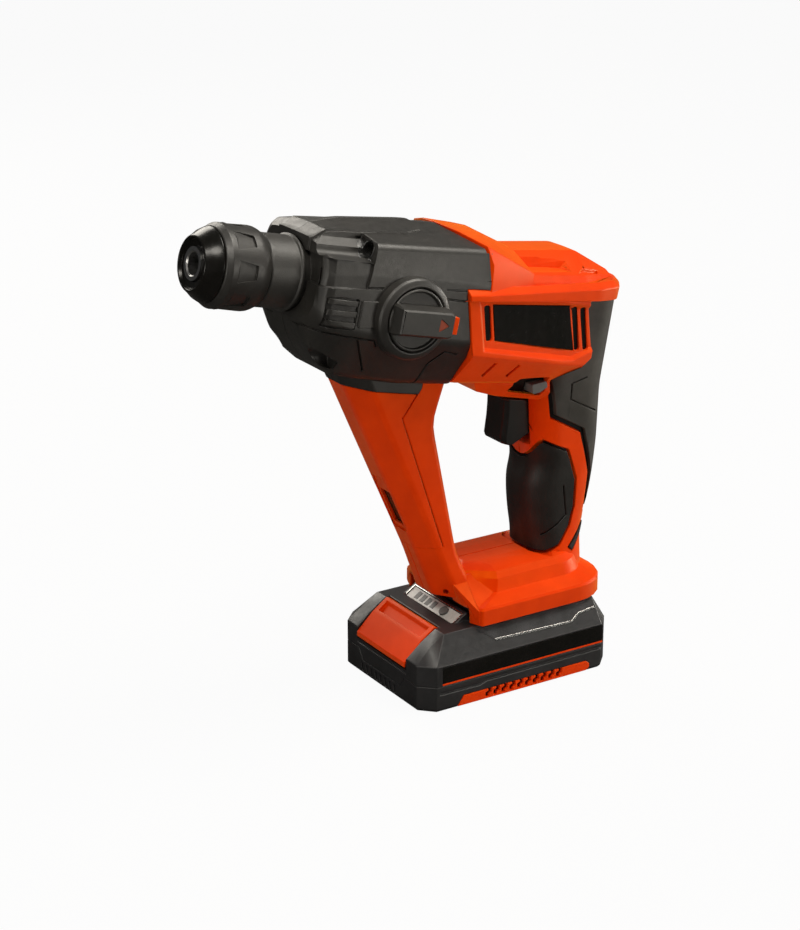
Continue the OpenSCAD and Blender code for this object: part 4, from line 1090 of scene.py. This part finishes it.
# Front block of the hood: corners of its ridge and of one side
BLOCK_RIDGE = [(-33, 29.6), (-16, 29.6), (3, 23.4)]
BLOCK_SIDE = [
    (-30, 15, 28.6), (-15, 13, 28.3), (5.9, 4.5, 23), (6.1, 12, 21.7), (6.5, 29.5, 15.2), (-23.4, 30.8, 25.6),
    (-20.8, 35, 18), (-20.5, 36.4, 9), (6.5, 30.5, 5), (-20.5, 37, 4),
]


def front_block(gap=0):
    """Front of the hood behind the gear head, falling to the roof in facets."""
    points = [axis(s - gap, 0, h + gap) for s, h in BLOCK_RIDGE]
    points += [axis(s - gap, y * side, h + gap) for s, y, h in BLOCK_SIDE for side in SIDES]
    return hull(points)


def scoop(side):
    """Stepped hollow in the roof's slope."""
    front = [(5, 27.4, 15.2), (5, 17, 15.6), (5, 14.2, 20.5), (5, 14.5, 30), (5, 40, 30)]
    rear = [(34, 22.9, 16.5), (29.5, 17.8, 17.0), (33, 16.5, 20.4), (33, 17, 30), (34, 40, 30)]
    return loft([[axis(s, y * side, h) for s, y, h in ring] for ring in (front, rear)])


def hood():
    roof = roof_skin()
    notch = [(37.5, 22.6), (41, 19.8), (54, 15), (53.4, 17), (41.6, 22)]
    for side in SIDES:
        tool = prism([(s, y * side) for s, y in notch], axis, 5, CLEAR)
        cut(roof, scoop(side), cut(tool, roof_skin(1.2)))
    join(roof, cut(brim(), through(FRAME_FRONT)), front_block())
    room = prism(reflected([(-40, -24), (48, -20)]), axis, -10, 12.5)
    cut(roof, head_skin(HEAD_WALL), room)
    place(roof, ORANGE, "housing", ["rear_hood"], "orange_plastic", 0.5)


# Strut cover with the lamp's window


def strut_cover():
    cover = common(strut_skin(0, "cover"), strut_region())
    cut(cover, through(rectangle(-140, 60, -48.1, 60)), strut_skin(2.6))
    lens_low, lens_high = size("led_lens")
    low, high, hw = lens_low.z, lens_high.z, lens_high.y
    surround = mirrored([(hw, low - 1.5), (hw + 1.5, low + 2), (hw + 1.5, high - 2), (hw - 2, high + 5)])
    cut(cover, cut(prism(surround, facing, -90, 0), strut_skin(1.0)))
    window = rectangle(-90, 0, low + 1.5, high - 2.5)
    cut(cover, prism(window, across, 1.2 - hw, hw - 1.2))
    place(cover, ORANGE, "housing", ["strut_cover"], "orange_plastic", 0.5)


# Grips and trigger


def grip_line(points, side):
    """Fine groove in the face of a grip."""
    tool = prism(bar(points, LINE_W), across, 10 * side, 40 * side)
    return cut(tool, handle_skin(LINE_DEPTH))


def layer(region, depth):
    """Part of the handle's soft layer in a region, with its top at a depth under the handle's skin."""
    return cut(common(region, handle_skin(depth)), handle_skin(GRIP_T - FIT))


def grips():
    """Raised pads with a sunk band round each, coloured near-black as painted shade in the groove, and a
    strip below them.
    """
    # The rear pad's rubber is painted lighter, as painted light on it.
    for name, outline, line, band, material in (
            ("rear_grip", REAR_GRIP, REAR_LINE, 2, PAINTED_LIGHT_RUBBER),
            ("front_grip", FRONT_GRIP, FRONT_LINE, 1, RUBBER)):
        piece = layer(pad_region(outline, -band), -PAD_RISE)
        for side in SIDES:
            cut(piece, grip_line(line, side))
        # Painted shade: the sunk band takes the trigger's near-black plastic to stand in for the shadow in
        # the groove round the pad.
        painted_shade_border = cut(layer(pad_region(outline), 1.5), pad_region(outline, 0.05 - band))
        # The rear pad ends under the hood
        if outline is REAR_GRIP:
            cut(painted_shade_border, through(over_seat(0.1)))
            cut(piece, through(over_seat(0.1)))
        painted_shade_border.name = name + "_border"
        place(piece, material, "housing", [name], "rubber", 0.5)
        place(painted_shade_border, TRIGGER, "housing", [], "rubber", 0.2)
    strip = layer(pad_region(STRIP), -PAD_RISE)
    strip.name = "lower_grip_strip"
    place(strip, RUBBER, "housing", [], "rubber", 0.3)


def trigger():
    front, top, bottom, rear, hw = 20, -49.5, -70.5, 40, 8.8
    profile = [(front, top), (front + 1.6, top - 1.2), (front + 2.6, top - 6), (front + 3.5, top - 12),
               (front + 4.0, top - 18), (front + 4.2, bottom + 0.6), (front + 5.4, bottom - 1.4),
               (front + 8, bottom - 1.9), (rear - 8.6, bottom - 1.2), (rear - 0.6, bottom + 5), (rear, top)]
    rings = []
    for y, depth in ((-hw, 2.2), (-hw + 1.6, 0.3), (-hw + 2.4, 0), (hw - 2.4, 0), (hw - 1.6, 0.3), (hw, 2.2)):
        rings.append([axis(s + depth if s < rear - 10 else s, y, h) for s, h in profile])
    place(loft(rings, "trigger"), TRIGGER, "trigger", ["trigger"], "rubber", 0.5)
    reach = size("direction_switch")[1].y
    switch = prism(evenly(SWITCH_TAB, 0.8), along, -reach, reach, "switch")
    place(switch, GREY, "direction_switch", ["direction_switch"], "black_plastic", 0.5)


# Battery: half length and width, heights of its seam, deck and side walls, and half width of its button
BAT_HL = size("battery_lower_case")[1].x
BAT_HW = size("battery_lower_case")[1].y
SEAM_Z = size("battery_lower_case")[1].z + 1
DECK_Z = FOOT_Z - 0.5
WALL_TOP = SEAM_Z + 10.5
BUTTON_HW = size("release_button")[1].y


def battery_plan(depth):
    """Outline of the battery from above, with cut corners."""
    a, b, corner = BAT_HL - depth, BAT_HW - depth, 7 - depth * 0.4
    return reflected([(-a, corner - b), (corner - a, -b), (a - corner, -b), (a, corner - b)])


def case_shape(depth=0, name="tool"):
    """Battery case without its rails, drawn in by depth."""
    points = [row(x, y, depth) for x, y in battery_plan(depth + 1.2)]
    points += [row(x, y, z) for z in (depth + 1.4, WALL_TOP - depth * 0.4) for x, y in battery_plan(depth)]
    front, rear, hw = -BAT_HL + 16.5 + depth, BAT_HL - 7 - depth, BAT_HW - 8.5 - depth
    points += [row(x, y, DECK_Z - depth) for x in (front, rear) for y in (-hw, hw)]
    points += [row(front - 8, y, DECK_Z - 5 - depth) for y in (-hw, hw)]
    return hull(points, name)


def under_seam():
    """Space under the seam of the case, which dips in front under the release button."""
    block = prism(centred(-80, 80, 80), row, -20, SEAM_Z)
    dip = mirrored([(17, SEAM_Z - 5.5), (BUTTON_HW - 1, SEAM_Z), (BUTTON_HW - 1, SEAM_Z + 5)])
    return cut(block, prism(dip, facing, -80, -BAT_HL + 4))


TRIM_LOW, TRIM_HIGH = size("battery_trims")
TRIM = [(TRIM_LOW.x, TRIM_LOW.z), (TRIM_LOW.x + 3.4, TRIM_HIGH.z), (TRIM_HIGH.x - 2, TRIM_HIGH.z),
        (TRIM_HIGH.x, TRIM_HIGH.z - 1.4), (TRIM_HIGH.x, TRIM_LOW.z + 1.4), (TRIM_HIGH.x - 2, TRIM_LOW.z)]


def side_prism(outline, side, low, high, name="tool"):
    """Outline on a side wall of the battery, drawn from low to high out of the wall."""
    return prism(outline, across, (BAT_HW + low) * side, (BAT_HW + high) * side, name)


def lower_case():
    case = common(case_shape(0, "lower"), under_seam())
    cut(case, case_shape(2.6))
    groove = bar([(-46, 9.6), (-23.5, 9.3), (-19.5, 10.6), (50.5, 10.9)], 1.7)
    for side in SIDES:
        cut(case, side_prism(inset(TRIM, -0.1), side, -1.9, 2), side_prism(groove, side, -1.1, 5))
    for k in range(8):
        y = 17 - 4.2 * k
        slit = bar([(y, 1.8), (y + 1.1, 6.0)], 1.4)
        cut(case, prism(slit, facing, -BAT_HL - 3, -BAT_HL + 1.8))
    place(case, CASE, "battery", ["battery_lower_case"], "black_plastic", 0.35)


def trims():
    strips = []
    for side in SIDES:
        strip = side_prism(TRIM, side, -1.8, TRIM_HIGH.y - BAT_HW, "trims")
        for k in range(10):
            x = -18.5 + 4.6 * k
            slot = bar([(x + 0.8, 7), (x + 0.8, 4.0), (x - 0.8, 3.4), (x - 0.8, 1.5)], 2.0)
            cut(strip, side_prism(slot, side, -3, 3))
        strips.append(strip)
    place(join(*strips), ORANGE, "battery", ["battery_trims"], "orange_plastic", 0.2)


# Gauge: foot and crest of its slope, half width, and its window's ends and half width
GAUGE_FRONT = Vector((-BAT_HL + 25.4, DECK_Z - 1.5))
GAUGE_CREST = Vector((-BAT_HL + 34, DECK_Z + 4))
GAUGE_HW = 22.6
GAUGE_WINDOW = (1.6, 8.6, 20.6)


def gauge_point(u, y, w):
    """Point on the gauge: u up its slope from the front, w out of it."""
    up = (GAUGE_CREST - GAUGE_FRONT).normalized()
    x, z = GAUGE_FRONT + up * u + Vector((-up.y, up.x)) * w
    return row(x, y, z)


# Label zone: its ends in x, and its depth
LABEL = (-44.5, 49)
LABEL_DEPTH = 0.5


def upper_case():
    case = cut(case_shape(0, "upper"), under_seam())
    rear, root_z = GAUGE_CREST.x + 1.4, DECK_Z - 4
    gauge_block = [(GAUGE_FRONT.x, root_z), GAUGE_FRONT, GAUGE_CREST, (rear, GAUGE_CREST.y), (rear, root_z)]
    join(case, prism(gauge_block, across, -GAUGE_HW, GAUGE_HW))
    cut(case, case_shape(1.6), prism(centred(*GAUGE_WINDOW), gauge_point, -0.9, 4))
    for hw, low in ((21.4, DECK_Z - 1), (25.4, FOOT_Z + 3.3)):
        join(case, prism(centred(-BAT_HL + 37, BAT_HL - 15, hw), row, low, FOOT_Z + RAIL_RISE))
    gap, skirt, floor_z = 0.4, -BAT_HL + 0.6, SEAM_Z + 4.3
    button_low, button_high = size("release_button")
    room = [(-80, button_low.z - 3.4), (skirt, button_low.z - 3.4), (skirt, floor_z),
            (button_high.x + gap, floor_z), (button_high.x + gap, 60), (-80, 60)]
    cut(case, prism(room, across, -BUTTON_HW - gap, BUTTON_HW + gap))
    zone = rectangle(LABEL[0] - 0.1, LABEL[1] + 0.1, SEAM_Z + 0.3, WALL_TOP - 0.8)
    for side in SIDES:
        cut(case, side_prism(zone, side, -LABEL_DEPTH, 3))
    place(case, CASE, "battery", ["battery_upper_case"], "black_plastic", 0.5)


def both_sides(name, outline, low, high):
    """Flat inlay on both sides of the battery."""
    return join(*[side_prism(outline, side, low, high, name) for side in SIDES])


def battery_sides():
    """Plain label zone with its fine line, and the grained shoulder with a silver strip on its edge as a
    painted highlight.
    """
    line_top = SEAM_Z + 1.3
    zone = rectangle(*LABEL, line_top, WALL_TOP - 0.9)
    label = both_sides("battery_label", zone, -LABEL_DEPTH, -0.05)
    place(label, GLOSS, "battery", [], "black_plastic", 0.1)
    stripe = both_sides("battery_stripe", rectangle(*LABEL, SEAM_Z + 0.4, line_top), -LABEL_DEPTH, 0)
    place(stripe, ORANGE, "battery", [], "orange_plastic", 0.08)
    edge = [(-12.8, 28.6), (32, 27.6), (37, 30), (47, 31)]
    # The silver strip is a painted highlight where the shoulder's edge catches light.
    for name, outline, rise, material, slot in (
            ("battery_shoulder", [(-21, 34.4)] + edge + [(47, 34.4)], 0.12, PAD, "black_plastic"),
            ("battery_painted_edge_highlight", bar(edge, 0.8), 0.3, SILVER_AND_PAINTED_HIGHLIGHT, "steel")):
        place(inlays(name, [outline], across, case_shape, -rise, 0.4), material, "battery", [], slot, 0.1)


def gauge():
    middle = (GAUGE_CREST - GAUGE_FRONT).length / 2
    low, high = size("gauge_button")
    y = (low.y + high.y) / 2
    plate = prism(centred(1.9, 8.3, 20.3), gauge_point, -1.0, -0.4, "gauge")
    hole_r = high.y - y + 0.15
    cut(plate, pin(gauge_point(middle, y, -4), gauge_point(middle, y, 4), hole_r))
    place(plate, PALE, "battery", ["gauge_window"], "gauge", 0.1)
    bars = []
    for k in range(4):
        outline = [(u, v + 13.5 - 4.6 * k) for u, v in centred(2.9, 7.3, 1.5)]
        bars.append(prism(outline, gauge_point, -0.6, -0.25, "gauge_bars"))
    place(join(*bars), GREY, "battery", [], "gauge", 0.08)
    rim = prism(centred(1.1, 9.1, 21.1), gauge_point, -0.3, 0.1, "gauge_rim")
    cut(rim, prism(centred(*GAUGE_WINDOW), gauge_point, -2, 2))
    place(rim, SILVER_AND_PAINTED_HIGHLIGHT, "battery", [], "steel", 0.08)


def release_button():
    low, high = size("release_button")
    under, skirt = SEAM_Z + 7.8, low.x + 0.9
    catch = size("latch_spring")[1].x + 0.7
    button = prism([
        (low.x, low.z), (low.x, low.z + 2.5), (-BAT_HL + 8.5, DECK_Z - 5.3), (high.x - 2, DECK_Z + 0.4),
        (high.x, DECK_Z - 0.5), (high.x, DECK_Z - 7.5), (catch + 1, DECK_Z - 8.5), (catch, under),
        (skirt, under), (skirt, low.z),
    ], across, -BUTTON_HW, BUTTON_HW, "button")
    dish = [(-BAT_HL + 9.6, DECK_Z - 3), (-BAT_HL + 11, DECK_Z - 5.4), (high.x - 3.6, DECK_Z - 2.2),
            (high.x - 2.6, DECK_Z + 3), (-BAT_HL + 9.6, DECK_Z + 3)]
    cut(button, prism(dish, across, -BUTTON_HW + 3, BUTTON_HW - 3))
    place(button, ORANGE, "release_button", ["release_button"], "orange_plastic", 0.35)


def battery():
    lower_case()
    trims()
    upper_case()
    battery_sides()
    gauge()
    release_button()


# Springs, and how far the pieces on them travel
SLEEVE_TRAVEL, TRIGGER_TRAVEL, LATCH_TRAVEL = 5, 6, 3


def spring(node, body):
    """Coil spring copied from its CAD node, in steel, set on its body."""
    piece = place(node_copy(node), STEEL, body, [node], "steel", 0.02)
    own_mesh(piece)


def springs():
    for node, body, joint, travel in (
            ("sleeve_spring", "spindle", "sleeve_slide", SLEEVE_TRAVEL),
            ("trigger_spring", "housing", "trigger_pull", TRIGGER_TRAVEL)):
        spring(node, body)
    spring("latch_spring", "battery")


# Finishes of the CAD nodes that stay as they are; the rest of them are steel
FINISHES = {
    "gearbox_flange": ALLOY, "rotor": COPPER, "terminal_block": BRASS, "battery_cells": CELL,
    "led_board": BOARD, "battery_board": BOARD, "switch_body": BLACK, "cooling_fan": BLACK,
    "spindle_seal": RUBBER, "led_lens": LENS, "gauge_button": GREY,
}


def carried_over():
    for name, node in frame["nodes"].items():
        if not node.hide_render:
            paint(node, FINISHES.get(name, STEEL))


# Camera, floor and light


def aimed(name, data, spot, out):
    """Camera or lamp at a spot, with its back to the direction out."""
    piece = added(name, data)
    piece.location = spot
    piece.rotation_euler = out.to_track_quat("Z", "Y").to_euler()
    return piece


def camera():
    turn, rise, distance = math.radians(-32.21), math.radians(20.27), 1.09178
    target = Vector((-0.04424, 0, 0.11242))
    out = Vector((math.sin(turn) * math.cos(rise), -math.cos(turn) * math.cos(rise), math.sin(rise)))
    data = bpy.data.cameras.new("camera")
    data.lens = 90
    data.sensor_width = 36
    data.sensor_fit = "AUTO"
    bpy.context.scene.camera = aimed("camera", data, target + out * distance, out)


# Lamps: name, place, width and power
LAMP_COLOUR = (1, 0.95, 0.86)
LAMP_TARGET = Vector((-0.04, 0, 0.13))
LAMPS = [
    ("key", (-0.6, -0.6, 1.4), 0.5, 8),
    ("side", (-1.4, -0.5, 0.35), 0.5, 3),
    ("top", (0.45, -0.2, 1.25), 0.7, 12),
    ("back", (0.0, 1.2, 0.8), 0.8, 9),
    ("rim", (1.3, -0.2, 0.2), 0.5, 8),
    ("front", (0.6, -1.2, 0.22), 0.5, 3),
]


def lamps():
    for name, spot, width, power in LAMPS:
        data = bpy.data.lights.new(name, "AREA")
        data.shape = "DISK"
        data.size = width
        data.energy = power
        data.color = LAMP_COLOUR
        aimed(name, data, spot, Vector(spot) - LAMP_TARGET)


def mixed(nodes, links, first, second):
    """Mix of two shaders: its share, still to be set, and its output."""
    mix = nodes.new("ShaderNodeMixShader")
    links.new(first, mix.inputs[1])
    links.new(second, mix.inputs[2])
    return mix.inputs["Fac"], mix.outputs["Shader"]


FLOOR_REACH = 4


def floor():
    """Pale floor that is nearly white to the camera, keeps shadows, and is dark in reflections."""
    bm = bmesh.new()
    bm.faces.new([bm.verts.new((x, y, 0)) for x, y in centred(-FLOOR_REACH, FLOOR_REACH, FLOOR_REACH)])
    piece = made("floor", bm)
    material, nodes, links, surface = shader("floor")
    fill(surface, {"Base Color": (0.5, 0.5, 0.5, 1), "Roughness": 0.8})
    glow = nodes.new("ShaderNodeEmission")
    dark = nodes.new("ShaderNodeBsdfDiffuse")
    fill(dark, {"Color": (0.05, 0.05, 0.05, 1)})
    path = nodes.new("ShaderNodeLightPath")
    share, pale = mixed(nodes, links, surface.outputs["BSDF"], glow.outputs["Emission"])
    share.default_value = 0.95
    share, seen = mixed(nodes, links, surface.outputs["BSDF"], pale)
    links.new(path.outputs["Is Camera Ray"], share)
    share, whole = mixed(nodes, links, seen, dark.outputs["BSDF"])
    links.new(path.outputs["Is Glossy Ray"], share)
    links.new(whole, nodes["Material Output"].inputs["Surface"])
    paint(piece, material)


def studio():
    """White surroundings to the camera, and a faint even light on the object."""
    world = bpy.data.worlds.new("studio")
    bpy.context.scene.world = world
    world.use_nodes = True
    nodes, links = world.node_tree.nodes, world.node_tree.links
    soft = nodes["Background"]
    white = nodes.new("ShaderNodeBackground")
    for node, strength in ((soft, 0.07), (white, 1)):
        fill(node, {"Color": (1, 1, 1, 1), "Strength": strength})
    path = nodes.new("ShaderNodeLightPath")
    share, sky = mixed(nodes, links, soft.outputs["Background"], white.outputs["Background"])
    links.new(path.outputs["Is Camera Ray"], share)
    links.new(sky, nodes["World Output"].inputs["Surface"])


chuck()
gear_head()
bracket()
selector()
housing()
plates()
hood()
strut_cover()
grips()
trigger()
battery()
springs()
carried_over()
camera()
floor()
studio()
lamps()
bpy.context.scene.view_settings.view_transform = "Standard"
